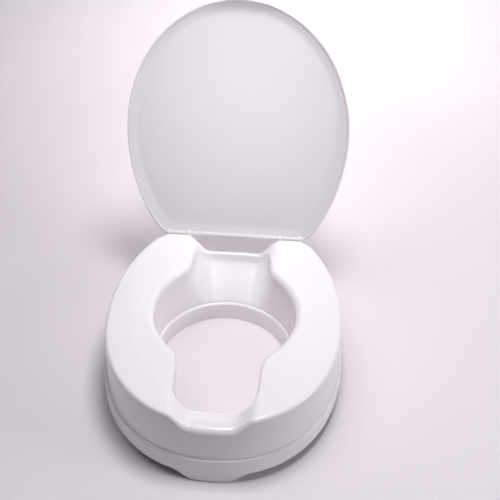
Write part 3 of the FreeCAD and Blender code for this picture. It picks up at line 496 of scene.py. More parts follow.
def middle(node):
    """The middle of a node's box."""
    low, high = corners(node)
    return (low + high) / 2


# ---------------------------------------------------------------- finishes

def add_node(tree, kind, inputs=None, **settings):
    """A shader node with its settings, and its inputs either linked or set."""
    made = tree.nodes.new(kind)
    for name, value in settings.items():
        setattr(made, name, value)
    for name, value in (inputs or {}).items():
        if isinstance(value, bpy.types.NodeSocket):
            tree.links.new(value, made.inputs[name])
        else:
            made.inputs[name].default_value = value
    return made


def new_finish(name):
    """An empty material, its tree, its shader and its object coordinates."""
    material = bpy.data.materials.new(name)
    material.use_nodes = True
    tree = material.node_tree
    tree.nodes.clear()
    shader = add_node(tree, "ShaderNodeBsdfPrincipled")
    add_node(tree, "ShaderNodeOutputMaterial", {"Surface": shader.outputs["BSDF"]})
    place = add_node(tree, "ShaderNodeTexCoord").outputs["Object"]
    return material, tree, shader, place


def per_mm(size_mm):
    """A noise scale whose features are about so many millimetres across."""
    return 1 / (size_mm * MM)


def dress(tree, shader, tint_by, low, high, gloss_by=None, gloss=(), reliefs=()):
    """Let patterns move a finish's colour between two tones, and its roughness and relief.

    reliefs holds a pattern, a strength and a depth in millimetres for each layer, the coarse one first.
    """
    tint = add_node(tree, "ShaderNodeMix", {0: tint_by, 6: (*low, 1), 7: (*high, 1)}, data_type="RGBA")
    tree.links.new(tint.outputs[2], shader.inputs["Base Color"])
    if gloss_by:
        rough = add_node(tree, "ShaderNodeMapRange",
                         {"Value": gloss_by, "To Min": gloss[0], "To Max": gloss[1]})
        tree.links.new(rough.outputs[0], shader.inputs["Roughness"])
    under = {}
    for pattern, strength, depth in reliefs:
        bump = add_node(tree, "ShaderNodeBump", {"Height": pattern, "Strength": strength,
                                                 "Distance": depth * MM, **under})
        under = {"Normal": bump.outputs["Normal"]}
    if under:
        tree.links.new(under["Normal"], shader.inputs["Normal"])


def polypropylene_gloss(name, tone, gloss):
    """Polypropylene homopolymer, injection moulded in a polished tool.

    The skin is shiny with a slow waviness from shrinkage, and a fine haze that breaks up its highlights.
    """
    material, tree, shader, place = new_finish(name)
    cloud, haze, wave, fine = (
        add_node(tree, NOISE, {"Vector": place, "Scale": per_mm(size), "Detail": detail}).outputs["Fac"]
        for size, detail in ((70, 2.0), (9, 4.0), (38, 1.0), (0.9, 2.0)))
    dress(tree, shader, cloud, [c * 0.975 for c in tone], tone, haze, (gloss - 0.02, gloss + 0.03),
          [(wave, 0.25, 0.5), (fine, 0.12, 0.02)])
    shader.inputs["IOR"].default_value = 1.49
    return material


def let_light_through(material, share, tone):
    """Let a thin sheet glow with some of the light that falls on its back."""
    tree = material.node_tree
    shader = next(node for node in tree.nodes if node.type == "BSDF_PRINCIPLED")
    output = next(node for node in tree.nodes if node.type == "OUTPUT_MATERIAL")
    glow = add_node(tree, "ShaderNodeBsdfTranslucent", {"Color": (*tone, 1)})
    mix = add_node(tree, "ShaderNodeMixShader", {0: share, 1: shader.outputs["BSDF"],
                                                 2: glow.outputs["BSDF"]})
    tree.links.new(mix.outputs[0], output.inputs["Surface"])
    return material


def acetal_satin(tone):
    """Acetal, injection moulded: whiter and waxier than the seat, with a satin skin."""
    material, tree, shader, place = new_finish("acetal_satin_white")
    haze = add_node(tree, NOISE, {"Vector": place, "Scale": per_mm(2.5), "Detail": 3.0}).outputs["Fac"]
    dress(tree, shader, haze, [c * 0.97 for c in tone], tone, haze, (0.3, 0.42), [(haze, 0.15, 0.03)])
    shader.inputs["IOR"].default_value = 1.48
    return material


def rubber_matt(tone):
    """Nitrile rubber, compression moulded: matt, with a fine powdery grain and paler scuffs."""
    material, tree, shader, place = new_finish("nitrile_rubber_grey")
    grain = add_node(tree, NOISE, {"Vector": place, "Scale": per_mm(0.6), "Detail": 3.0}).outputs["Fac"]
    scuff = add_node(tree, NOISE, {"Vector": place, "Scale": per_mm(6), "Detail": 5.0}).outputs["Fac"]
    dress(tree, shader, scuff, tone, [min(c * 1.35, 1) for c in tone], scuff, (0.72, 0.9),
          [(grain, 0.5, 0.06)])
    return material


def grained_plastic(tone):
    """Glass-filled nylon, moulded in a spark-eroded tool: an even, fine leathery grain."""
    material, tree, shader, place = new_finish("glass_filled_nylon_grey")
    cells = add_node(tree, "ShaderNodeTexVoronoi",
                     {"Vector": place, "Scale": per_mm(0.8)}).outputs["Distance"]
    dress(tree, shader, cells, [c * 0.9 for c in tone], tone, cells, (0.42, 0.6), [(cells, 0.4, 0.05)])
    shader.inputs["IOR"].default_value = 1.53
    return material


def zinc_steel(tone):
    """Steel, cold headed and zinc plated: bright, with a faint bluish mottle and fine turning marks."""
    material, tree, shader, place = new_finish("zinc_plated_steel")
    mottle = add_node(tree, NOISE, {"Vector": place, "Scale": per_mm(3), "Detail": 4.0}).outputs["Fac"]
    marks = add_node(tree, "ShaderNodeTexWave", {"Vector": place, "Scale": per_mm(2.4),
                                                 "Distortion": 2.0}, bands_direction="Z").outputs["Fac"]
    dress(tree, shader, mottle, [tone[0] * 0.9, tone[1] * 0.94, tone[2]], tone, mottle, (0.22, 0.4),
          [(marks, 0.2, 0.02)])
    shader.inputs["Metallic"].default_value = 1.0
    return material


def paper_matt(tone):
    """Seamless background paper: matt, with a barely seen fibre."""
    material, tree, shader, place = new_finish("background_paper")
    fibre = add_node(tree, NOISE, {"Vector": place, "Scale": per_mm(5), "Detail": 4.0}).outputs["Fac"]
    dress(tree, shader, fibre, [c * 0.985 for c in tone], tone)
    shader.inputs["Roughness"].default_value = 0.9
    return material


FINISH_MAKERS = {
    "seat_plastic": lambda f: polypropylene_gloss("polypropylene_gloss_white", f.white, 0.16),
    "lid_plastic": lambda f: let_light_through(
        polypropylene_gloss("polypropylene_thin_white", f.white, 0.26), 0.3, f.white),
    "clip_plastic": lambda f: acetal_satin(f.clip),
    "rubber": lambda f: rubber_matt(f.rubber),
    "knob_plastic": lambda f: grained_plastic(f.knob),
    "steel": lambda f: zinc_steel(f.steel),
    "paper": lambda f: paper_matt(f.floor),
}
made_finishes = {}


def finish(kind):
    """A finish by kind, made once."""
    if kind not in made_finishes:
        made_finishes[kind] = FINISH_MAKERS[kind](bpy.context.scene.seat_finishes)
    return made_finishes[kind]


# ---------------------------------------------------------------- seat

class SEAT_OT_shell(bpy.types.Operator):
    """Make the seat's moulded skin: skirt, ledge, wall, sitting surface and the opening's wall"""
    bl_idname = "seat.shell"
    bl_label = "Seat shell"

    def execute(self, context):
        seat, collar = context.scene.seat_sizes, context.scene.collar_sizes
        angles = turns(TURN_STEPS)
        sections = {turn: shell_section(seat, collar, turn) for turn in angles}
        nearest = {round(turn, 4): turn for turn in angles}

        def place(turn, ring):
            turn = nearest[round(turn, 4)]
            reach, height = sections[turn][ring]
            return Vector((reach * math.cos(turn), reach * math.sin(turn), height))

        bm = ringed(angles, len(sections[angles[0]]), place)
        piece = make("seat_shell_skin", [bm], "seat_plastic", "seat", "seat_shell", smooth_under=60)
        solid = piece.modifiers.new("wall", "SOLIDIFY")
        solid.thickness = seat.wall
        solid.offset = -1
        solid.use_even_offset = True
        eased = piece.modifiers.new("lower edges", "BEVEL")
        eased.width = 0.7 * MM
        eased.segments = 2
        eased.limit_method = "ANGLE"
        eased.angle_limit = math.radians(65)
        return {"FINISHED"}


def hollow_outline(points, inset, low):
    """The outline of the space inside a section, so far into the wall, closed along its bottom."""
    outline = []
    for index in range(1, len(points) - 1):
        before, here, after = (Vector(points[index + step]) for step in (-1, 0, 1))
        along = (after - before).normalized()
        spot = here + Vector((-along.y, along.x)) * inset
        if spot.y > low + 0.5 * MM:
            outline.append(spot)
    outline.insert(0, Vector((outline[0].x, low)))
    outline.append(Vector((outline[-1].x, low)))
    return outline


def plate_from(outline, thickness):
    """An upright plate over the X axis from an outline of distance and height."""
    bm = slab([(point.x, point.y) for point in outline], thickness, 0.3)
    bmesh.ops.translate(bm, verts=bm.verts, vec=(0, 0, -thickness / 2))
    return moved(bm, Matrix.Rotation(math.pi / 2, 4, "X"))


def straight_section(seat, collar, y):
    """The shell's skin cut along a line across the seat, so far behind the middle."""
    turn = 0.0
    count = len(shell_section(seat, collar, turn))
    points = []
    for ring in range(count):
        for _ in range(6):
            reach, height = shell_section(seat, collar, turn)[ring]
            turn = math.asin(y / reach)
        points.append((reach * math.cos(turn), height))
    return points


class SEAT_OT_ribs(bpy.types.Operator):
    """Make the ribs and bosses under the sitting surface"""
    bl_idname = "seat.ribs"
    bl_label = "Ribs and bosses"

    def execute(self, context):
        seat, collar = context.scene.seat_sizes, context.scene.collar_sizes
        inset = 0.5 * seat.wall
        solids = []
        for degrees in RIB_ANGLES:
            for side in (1, -1):
                turn = math.radians(side * degrees)
                outline = hollow_outline(shell_section(seat, collar, turn), inset, seat.rib_low)
                solids.append(moved(plate_from(outline, seat.rib), Matrix.Rotation(turn, 4, "Z")))
        offset = seat.pocket_half + seat.rib / 2
        guide = hollow_outline(straight_section(seat, collar, offset), inset, seat.rib_low)
        for x_side in (1, -1):
            for y_side in (1, -1):
                flip = Matrix.Diagonal((x_side, 1, 1, 1))
                shift = Matrix.Translation((0, y_side * offset, 0))
                solids.append(moved(plate_from(guide, seat.rib), shift @ flip))
        under = seat.top - 0.7 * seat.wall
        for side, _ in SIDES:
            for end in ("rear", "front"):
                spot = middle(f"rim_pad_{end}_{side}")
                solids.append(self.boss(spot, seat.pad_boss, seat.rib_low, under))
        for low, high in loose_boxes("rail_screws"):
            spot = (low + high) / 2
            solids.append(self.boss(spot, seat.rail_boss, corners("clamp_rail_left")[1].z, under))
        make("seat_shell_ribs", solids, "seat_plastic", "seat")
        return {"FINISHED"}

    @staticmethod
    def boss(spot, radius, low, high):
        """A round boss that hangs from the sitting surface, slightly thicker at its root."""
        bm = turned([(0, low), (radius - 0.4 * MM, low), (radius, low + 0.4 * MM),
                     (radius * 1.08, high), (0, high)], 32)
        return moved(bm, Matrix.Translation((spot.x, spot.y, 0)))


class SEAT_OT_collar(bpy.types.Operator):
    """Make the oval collar with the bead round its top"""
    bl_idname = "seat.collar"
    bl_label = "Bowl collar"

    def execute(self, context):
        collar = context.scene.collar_sizes
        wall, bead, height = collar.wall, collar.wall + collar.bead, collar.height
        low = height - collar.bead_height
        profile = [(0, 0.8 * MM), (0.25 * MM, 0.2 * MM), (0.8 * MM, 0), (wall - 0.8 * MM, 0),
                   (wall - 0.2 * MM, 0.3 * MM), (wall, 1 * MM), (wall, low - 1 * MM),
                   (wall + 0.5 * MM, low), (bead - 1 * MM, low), (bead, low + 1 * MM),
                   (bead, height - 0.5 * MM), (bead - 0.15 * MM, height - 0.1 * MM),
                   (bead - 0.5 * MM, height), (2.6 * MM, height - 0.1 * MM), (1.2 * MM, height - 0.65 * MM),
                   (0.35 * MM, height - 1.8 * MM), (0, height - 3.4 * MM), (0, height * 0.5)]

        def place(turn, ring):
            grow, z = profile[ring]
            reach = collar_reach(turn, collar, grow)
            return Vector((reach * math.cos(turn), reach * math.sin(turn), z))

        bm = ringed(turns(TURN_STEPS), len(profile), place, closed=True)
        make("bowl_collar_ring", [bm], "seat_plastic", "seat", "bowl_collar", smooth_under=50)
        return {"FINISHED"}


# ---------------------------------------------------------------- lid and hinge

def hinge_place():
    """The hinge line's position, from the frame's joint."""
    joint = next(j for j in frame["record"]["behaviour"]["joints"] if j["name"] == "lid_hinge")
    return Vector(joint["pos_m"])


def clip_middles():
    """How far across the middle of each hinge clip is."""
    return [middle(f"hinge_clip_{side}").x for side, _ in SIDES]


def ear_middles(lid):
    """How far across each of the four ears is."""
    return [x + step * lid.ear_spacing / 2 for x in clip_middles() for step in (1, -1)]


def lid_profile(lid):
    """The lid's section: inset from its edge and height, from the middle underneath to the middle on top."""
    low, sheet, bead, tall = lid.low - 0.5 * MM, lid.sheet, lid.bead, lid.bead_height
    under, top = low + lid.rise, low + lid.rise + sheet
    inner = bead + lid.band
    return [
        (0.165, under), (0.12, under), (0.07, under), (inner + 0.012, under), (inner + 0.003, under),
        (inner, under - 0.15 * MM), (inner - 3 * MM, under - 0.8 * MM), (bead + 3 * MM, low + 2.6 * MM),
        (bead + 0.6 * MM, low + 2.1 * MM), (bead, low + 1.7 * MM), (bead - 0.25 * MM, low + 0.6 * MM),
        (bead - 0.9 * MM, low + 0.1 * MM), (bead * 0.5, low), (0.7 * MM, low + 0.2 * MM),
        (0.15 * MM, low + 0.8 * MM), (0, low + tall * 0.5), (0.15 * MM, low + tall - 0.9 * MM),
        (0.8 * MM, low + tall - 0.2 * MM), (bead * 0.5, low + tall), (bead, low + tall + 0.25 * MM),
        (bead + 3 * MM, low + tall + 1.3 * MM), (inner - 3 * MM, top - 0.7 * MM), (inner, top - 0.1 * MM),
        (inner + 0.003, top), (inner + 0.012, top), (0.07, top), (0.12, top), (0.165, top)]


def lid_sheet_mesh(lid):
    """The lid's sheet, shut, round the hinge line: two skins and a rounded rim, its front bent down."""
    profile = lid_profile(lid)

    def place(turn, ring):
        inset, z = profile[ring]
        reach = egg_reach(turn, lid, 0.0, -min(inset, lid.band), LID_CORNER_SHARPNESS)
        reach *= 1 - max(inset - lid.band, 0) / lid.half_width
        x, y = reach * math.cos(turn), reach * math.sin(turn) - lid.rear
        past = max(-y - lid.crease, 0.0)
        drop = past * past / (past + 6 * MM) * math.tan(lid.crease_angle)
        return Vector((x, y, z - drop))

    bm = ringed(turns(TURN_STEPS), len(profile), place)
    ends = [edge for edge in bm.edges if edge.is_boundary]
    bmesh.ops.holes_fill(bm, edges=ends, sides=0)
    bmesh.ops.recalc_face_normals(bm, faces=bm.faces)
    return bm


def rod_mesh(lid):
    """The hinge rod with rounded ends, along the hinge line."""
    r, half = lid.rod, lid.rod_half
    profile = [(0, -half)]
    profile += [(r * sine, -half + r * (1 - cosine)) for sine, cosine in quarter(6)]
    profile += [(radius, -z) for radius, z in reversed(profile)]
    return moved(turned(profile, 40), Matrix.Rotation(math.pi / 2, 4, "Y"))


def cut_by(piece, cutters, kind):
    """Cut meshes of a kind of finish out of a piece and keep the result as its mesh."""
    tool = as_object("cutter", cutters, kind)
    cut = piece.modifiers.new("cut", "BOOLEAN")
    cut.operation = "DIFFERENCE"
    cut.solver = "EXACT"
    cut.object = tool
    bpy.context.view_layer.update()
    depsgraph = bpy.context.evaluated_depsgraph_get()
    result = bpy.data.meshes.new_from_object(piece.evaluated_get(depsgraph))
    piece.modifiers.clear()
    old = piece.data
    result.name = old.name + "_cut"
    piece.data = result
    bpy.data.meshes.remove(old)
    bpy.data.objects.remove(tool)


class SEAT_OT_lid(bpy.types.Operator):
    """Make the lid with its rim bead, sloped band, front crease, ear slots and hinge rod"""
    bl_idname = "seat.lid"
    bl_label = "Lid"

    def execute(self, context):
        lid = context.scene.lid_sizes
        opened = Matrix.Translation(hinge_place()) @ Matrix.Rotation(-lid.open_angle, 4, "X")
        sheet = as_object("lid_sheet", [lid_sheet_mesh(lid)], "lid_plastic", 50)
        slot_round = lid.rod + lid.eye_wall + lid.eye_gap
        half = lid.ear / 2 + lid.ear_gap
        cutters = []
        for x in ear_middles(lid):
            bm = turned([(0, -half), (slot_round, -half), (slot_round, half), (0, half)], 40)
            cutters.append(moved(bm, Matrix.Translation((x, 0, 0)) @ Matrix.Rotation(math.pi / 2, 4, "Y")))
        cut_by(sheet, cutters, "lid_plastic")
        sheet.data.shade_smooth()
        sheet.data.set_sharp_from_angle(angle=math.radians(50))
        sheet.data.transform(opened)
        settle(sheet, "lid", "lid_plastic", "lid")
        make("lid_hinge_rod", [moved(rod_mesh(lid), opened)], "lid_plastic", "lid")
        return {"FINISHED"}


def ear_mesh(lid):
    """One ear in the XY plane of its own: an open eye round the rod and a neck down to the base."""
    bore, outer = lid.rod + 0.1 * MM, lid.rod + lid.eye_wall
    mouth = math.asin(2.4 * MM / bore)
    steps = 36
    sweep = [mouth + (math.tau - 2 * mouth) * k / steps for k in range(steps + 1)]
    outline = [(outer * math.cos(a), outer * math.sin(a)) for a in sweep]
    outline += [(bore * math.cos(a), bore * math.sin(a)) for a in reversed(sweep)]
    eye = slab(outline, lid.ear, 0.25)
    neck = slab([(-4.2 * MM, -10.5 * MM), (-1.6 * MM, -outer + 0.2 * MM), (-3.4 * MM, -bore - 0.3 * MM),
                 (-bore - 0.4 * MM, -0.5 * MM), (-7 * MM, -0.5 * MM), (-7 * MM, -10.5 * MM)],
                lid.ear, 0.25)
    return [eye, neck]


class SEAT_OT_hinge_clips(bpy.types.Operator):
    """Make the two snap-in hinge clips, each a base bar with two open eyes"""
    bl_idname = "seat.hinge_clips"
    bl_label = "Hinge clips"

    def execute(self, context):
        lid, hinge = context.scene.lid_sizes, hinge_place()
        top = context.scene.seat_sizes.top + 0.2 * MM
        for side, _ in SIDES:
            node = f"hinge_clip_{side}"
            low, high = corners(node)
            solids = [block(low, (high.x, hinge.y - 4.2 * MM, top), 0.7)]
            for step in (1, -1):
                x = middle(node).x + step * lid.ear_spacing / 2 - lid.ear / 2
                shift = Matrix.Translation((x, hinge.y, hinge.z))
                solids += [moved(bm, shift @ UPRIGHT) for bm in ear_mesh(lid)]
            make(f"{node}_snap", solids, "clip_plastic", "seat", node)
        return {"FINISHED"}


# ---------------------------------------------------------------- small hardware

def loose_boxes(node):
    """The boxes of the separate solids in a node, each as two corners."""
    bm = bmesh.new()
    bm.from_mesh(frame["nodes"][node].data)
    bmesh.ops.remove_doubles(bm, verts=bm.verts, dist=1e-6)
    left = set(bm.verts)
    boxes = []
    while left:
        island, edge = set(), [left.pop()]
        while edge:
            vert = edge.pop()
            island.add(vert)
            for link in vert.link_edges:
                other = link.other_vert(vert)
                if other in left:
                    left.remove(other)
                    edge.append(other)
        corners = [[pick(v.co[axis] for v in island) for axis in range(3)] for pick in (min, max)]
        boxes.append((Vector(corners[0]), Vector(corners[1])))
    bm.free()
    return sorted(boxes, key=lambda box: tuple(round(value, 5) for value in box[0]))


def screw_mesh(long, head, head_tall, shank):
    """A pan-head screw, its head downwards and its tip up, the head's seat at 0."""
    profile = [(0, -head_tall), (head * 0.55, -head_tall), (head * 0.85, -head_tall * 0.8),
               (head, -head_tall * 0.35), (head, 0), (shank, 0)]
    pitch = 1.1 * MM
    for k in range(int((long - 3 * MM) / pitch)):
        z = 0.8 * MM + pitch * k
        profile += [(shank * 0.78, z), (shank, z + pitch * 0.35), (shank * 0.78, z + pitch * 0.7)]
    return turned(profile + [(shank * 0.6, long - 1.2 * MM), (0, long)], 28)


def cross_recess(head, head_tall):
    """The cutter for a cross recess in a screw's head."""
    arm, wide = head * 0.62, 0.45 * MM
    return [block((-arm, -wide, -head_tall - 1 * MM), (arm, wide, -head_tall * 0.45), 0.05),
            block((-wide, -arm, -head_tall - 1.1 * MM), (wide, arm, -head_tall * 0.46), 0.05)]


class SEAT_OT_screws(bpy.types.Operator):
    """Make the hinge screws and the rail screws"""
    bl_idname = "seat.screws"
    bl_label = "Screws"

    def execute(self, context):
        head, tall, shank, long = 3.1 * MM, 1.8 * MM, 1.55 * MM, 12 * MM
        single = as_object("one_screw", [screw_mesh(long, head, tall, shank)], "steel")
        for arm in cross_recess(head, tall):
            cut_by(single, [arm], "steel")
        for node, turn in (("hinge_screws", Matrix.Rotation(math.pi / 2, 4, "X")),
                           ("rail_screws", Matrix.Identity(4))):
            solids = []
            for low, high in loose_boxes(node):
                bm = bmesh.new()
                bm.from_mesh(single.data)
                spot = (low + high) / 2
                if node == "hinge_screws":
                    spot.y = high.y - tall
                else:
                    spot.z = low.z + tall
                solids.append(moved(bm, Matrix.Translation(spot) @ turn))
            make(f"{node}_pan_head", solids, "steel", "seat", node, smooth_under=35)
        bpy.data.objects.remove(single)
        return {"FINISHED"}


class SEAT_OT_rim_pads(bpy.types.Operator):
    """Make the four round rubber pads that rest on the bowl's rim"""
    bl_idname = "seat.rim_pads"
    bl_label = "Rim pads"

    def execute(self, context):
        for side, _ in SIDES:
            for end in ("rear", "front"):
                node = f"rim_pad_{end}_{side}"
                low, high = corners(node)
                radius, thick, tall = (high.x - low.x) / 2, 3 * MM, high.z - low.z
                profile = [(0, 0.5 * MM), (radius * 0.3, 0.5 * MM), (radius * 0.34, 0)]
                for groove in (0.52, 0.74):
                    at = radius * groove
                    profile += [(at - 0.6 * MM, 0), (at, 0.7 * MM), (at + 0.6 * MM, 0)]
                profile += [(radius - 0.8 * MM, 0), (radius - 0.2 * MM, 0.3 * MM), (radius, 0.9 * MM),
                            (radius, thick - 0.4 * MM), (radius - 0.4 * MM, thick), (3 * MM, thick),
                            (3 * MM, tall - 1 * MM), (2 * MM, tall), (0, tall)]
                shift = Matrix.Translation((*middle(node).xy, low.z))
                make(f"{node}_grooved", [moved(turned(profile, 64), shift)], "rubber", "seat", node)
        return {"FINISHED"}


# ---------------------------------------------------------------- clamps

def rail_mesh(low, high, slot_low, slot_high):
    """A plate with a long slot, between two corners; the slot is given by its ends and half width."""
    centre, span = (low + high) / 2, (high - low) / 2
    count = 48
    steps = [math.tau * (k + 0.5) / count for k in range(count)]

    def rounded(turn, half_x, half_y, power):
        c, s = math.cos(turn), math.sin(turn)
        reach = ((abs(c) / half_x) ** power + (abs(s) / half_y) ** power) ** (-1 / power)
        return Vector((reach * c, reach * s, 0))

    slot_middle, slot_half = (slot_low + slot_high) / 2, (slot_high - slot_low) / 2
    thick, lip = high.z - low.z, 0.4 * MM
    levels = [("slot", 0, 0), ("rim", -lip, 0), ("rim", 0, lip), ("rim", 0, thick - lip),
              ("rim", -lip, thick), ("slot", 0, thick)]

    def place(turn, ring):
        kind, grow, z = levels[ring]
        if kind == "slot":
            spot = rounded(turn, slot_half.x, slot_half.y, 10)
            return spot + Vector((slot_middle.x, slot_middle.y, low.z + z))
        spot = rounded(turn, span.x + grow, span.y + grow, 24)
        return spot + Vector((centre.x, centre.y, low.z + z))

    return ringed(steps, len(levels), place, closed=True)


class SEAT_OT_clamp_rails(bpy.types.Operator):
    """Make the two slotted rails that the clamps slide along"""
    bl_idname = "seat.clamp_rails"
    bl_label = "Clamp rails"

    def execute(self, context):
        for side, sign in SIDES:
            node = f"clamp_rail_{side}"
            low, high = corners(node)
            bolt = middle(f"clamp_bolt_{side}")
            reach, half = 20 * MM, 3.3 * MM
            near, far = sorted((bolt.x - sign * half, bolt.x + sign * (reach + half)))
            solids = [rail_mesh(low, high, Vector((near, -half, 0)), Vector((far, half, 0)))]
            for y in (-1, 1):
                lip_y = y * (high.y - 3.2 * MM)
                solids.append(block((low.x + 3 * MM, lip_y - 0.7 * MM, high.z - 0.3 * MM),
                                    (high.x - 3 * MM, lip_y + 0.7 * MM, high.z + 1.6 * MM), 0.3))
            make(f"{node}_slotted", solids, "clip_plastic", "seat", node)
        return {"FINISHED"}


def bracket_solids(low, high, arm_half, sheet):
    """An arm, a leg with eased corners, and two gussets, with the leg at low x."""
    leg_half = (high.y - low.y) / 2
    arm = block((low.x, -arm_half, high.z - sheet), (high.x, arm_half, high.z), 0.6)
    outline = [(-leg_half + 3 * MM, low.z), (leg_half - 3 * MM, low.z), (leg_half, low.z + 3 * MM),
               (leg_half, 32 * MM), (arm_half, 40 * MM), (arm_half, high.z - 0.4 * MM),
               (-arm_half, high.z - 0.4 * MM), (-arm_half, 40 * MM), (-leg_half, 32 * MM),
               (-leg_half, low.z + 3 * MM)]
    leg = slab(outline, sheet, 0.6)
    solids = [arm, moved(leg, Matrix.Translation((low.x, 0, 0)) @ UPRIGHT)]
    for y in (-1, 1):
        corner = high.z - sheet
        gusset = slab([(sheet * 0.6, corner + 0.4 * MM), (sheet * 0.6, corner - 6 * MM),
                       (sheet * 1.1, corner - 6 * MM), (sheet * 2.1, corner - 1 * MM),
                       (sheet * 2.1, corner + 0.4 * MM)], 1.8 * MM, 0.3)
        lay = Matrix(((1, 0, 0, low.x), (0, 0, -1, y * (arm_half - 1.4 * MM) + 0.9 * MM), (0, 1, 0, 0),
                      (0, 0, 0, 1)))
        solids.append(moved(gusset, lay))
    return solids


class SEAT_OT_clamp_brackets(bpy.types.Operator):
    """Make the two L-shaped brackets that hang inside the bowl"""
    bl_idname = "seat.clamp_brackets"
    bl_label = "Clamp brackets"

    def execute(self, context):
        for side, sign in SIDES:
            node = f"clamp_bracket_{side}"
            flip = Matrix.Diagonal((sign, 1, 1, 1))
            solids = [moved(bm, flip) for bm in bracket_solids(*corners(node, sign), 12 * MM, 3 * MM)]
            make(f"{node}_angle", solids, "clip_plastic", f"clamp_{side}", node)
        return {"FINISHED"}


class SEAT_OT_clamp_grips(bpy.types.Operator):
    """Make the two grooved rubber grips"""
    bl_idname = "seat.clamp_grips"
    bl_label = "Clamp grips"

    def execute(self, context):
        for side, sign in SIDES:
            node = f"clamp_grip_{side}"
            low, high = corners(node, sign)
            inner, tall = low.x + 3 * MM, high.z - low.z
            teeth, groove = 6, 1.2 * MM
            outline = [(inner, low.z), (high.x - groove, low.z)]
            for k in range(teeth):
                z, pitch = low.z + tall * k / teeth, tall / teeth
                outline += [(high.x - 0.3 * MM, z + pitch * 0.16), (high.x, z + pitch * 0.32),
                            (high.x, z + pitch * 0.68), (high.x - 0.3 * MM, z + pitch * 0.84),
                            (high.x - groove, z + pitch)]
            outline.append((inner, high.z))
            width = high.y - low.y
            grip = slab(outline, width, 0.3)
            lay = Matrix(((sign, 0, 0, 0), (0, 0, 1, -width / 2), (0, 1, 0, 0), (0, 0, 0, 1)))
            peg = turned([(0, 0), (2.4 * MM, 0), (2.9 * MM, 0.5 * MM), (2.9 * MM, 3.2 * MM),
                          (0, 3.2 * MM)], 28)
            peg_lay = Matrix.Translation((sign * low.x, 0, (low.z + high.z) / 2)) \
                @ Matrix.Rotation(sign * math.pi / 2, 4, "Y")
            make(f"{node}_grooved", [moved(grip, lay), moved(peg, peg_lay)], "rubber",
                 f"clamp_{side}", node)
        return {"FINISHED"}


class SEAT_OT_clamp_bolts(bpy.types.Operator):
    """Make the carriage bolts with their domed heads, square necks and threads, and their washers"""
    bl_idname = "seat.clamp_bolts"
    bl_label = "Clamp bolts and washers"

    def execute(self, context):
        for side, _ in SIDES:
            node = f"clamp_bolt_{side}"
            low, high = corners(node)
            rail_low, rail_high = corners(f"clamp_rail_{side}")
            seat_z, middle_x = rail_high.z + 0.4 * MM, middle(node).x
            head, shank, pitch = (high.x - low.x) / 2, 3 * MM, 1 * MM
            profile = [(0, low.z), (shank - 0.7 * MM, low.z)]
            z = low.z + 0.5 * MM
            while z < seat_z - 5 * MM:
                profile += [(shank, z), (shank - 0.45 * MM, z + pitch * 0.5)]
                z += pitch
            profile += [(shank, z), (shank, seat_z), (head - 0.3 * MM, seat_z), (head, seat_z + 0.4 * MM)]
            dome_low = seat_z + 0.5 * MM
            profile += [(head * cosine, dome_low + (high.z - dome_low) * sine)
                        for sine, cosine in quarter(6)][:-1] + [(0, high.z)]
            bolt = moved(turned(profile, 40), Matrix.Translation((middle_x, 0, 0)))
            neck = block((middle_x - shank, -shank, rail_low.z + 0.1 * MM),
                         (middle_x + shank, shank, seat_z), 0.3)
            make(f"{node}_carriage", [bolt, neck], "steel", f"clamp_{side}", node, smooth_under=30)
            ring = f"clamp_washer_{side}"
            low, high = corners(ring)
            rim, thick = (high.x - low.x) / 2, high.z - low.z
            band = [(3.2 * MM, 0.2 * MM), (3.4 * MM, 0), (rim - 0.3 * MM, 0), (rim, 0.3 * MM),
                    (rim, thick - 0.2 * MM), (rim - 0.2 * MM, thick), (3.4 * MM, thick),
                    (3.2 * MM, thick - 0.2 * MM), (3.2 * MM, 0.2 * MM)]
            washer = moved(turned(band, 48), Matrix.Translation((middle(ring).x, 0, low.z)))
            make(f"{ring}_flat", [washer], "steel", f"clamp_{side}", ring, smooth_under=30)
        return {"FINISHED"}


def knob_mesh(radius, tall, bore):
    """A hand knob with eight scallops, a dished lower face and a raised hub round its bore."""
    lobes = 8
    levels = [(0.0, "bore", 0.3), (0.45, "hub", 0.0), (0.5, "hub", 1.2), (0.72, "hub", 1.3),
              (0.94, "rim", 0.2), (0.985, "rim", 0.5), (1.0, "rim", 1.3), (1.0, "rim", tall / MM - 1.0),
              (0.98, "rim", tall / MM - 0.3), (0.94, "rim", tall / MM), (0.5, "hub", tall / MM),
              (0.0, "bore", tall / MM)]
    steps = [math.tau * k / (lobes * 12) for k in range(lobes * 12)]

    def place(turn, ring):
        share, kind, z = levels[ring]
        if kind == "bore":
            reach = bore
        elif kind == "hub":
            reach = radius * share * 0.86
        else:
            wave = 0.5 + 0.5 * math.cos(lobes * (turn + math.pi / lobes))
            reach = (radius - 1.9 * MM * (1 - wave) ** 1.6) * share
        return Vector((reach * math.cos(turn), reach * math.sin(turn), z * MM))

    return ringed(steps, len(levels), place, closed=True)


class SEAT_OT_clamp_knobs(bpy.types.Operator):
    """Make the two scalloped hand knobs"""
    bl_idname = "seat.clamp_knobs"
    bl_label = "Clamp knobs"

    def execute(self, context):
        for side, _ in SIDES:
            node = f"clamp_knob_{side}"
            low, high = corners(node)
            knob = moved(knob_mesh((high.x - low.x) / 2, high.z - low.z, 3.1 * MM),
                         Matrix.Translation((*middle(node).xy, low.z)))
            make(f"{node}_scalloped", [knob], "knob_plastic", f"knob_{side}", node, smooth_under=45)
        return {"FINISHED"}


# ---------------------------------------------------------------- stage

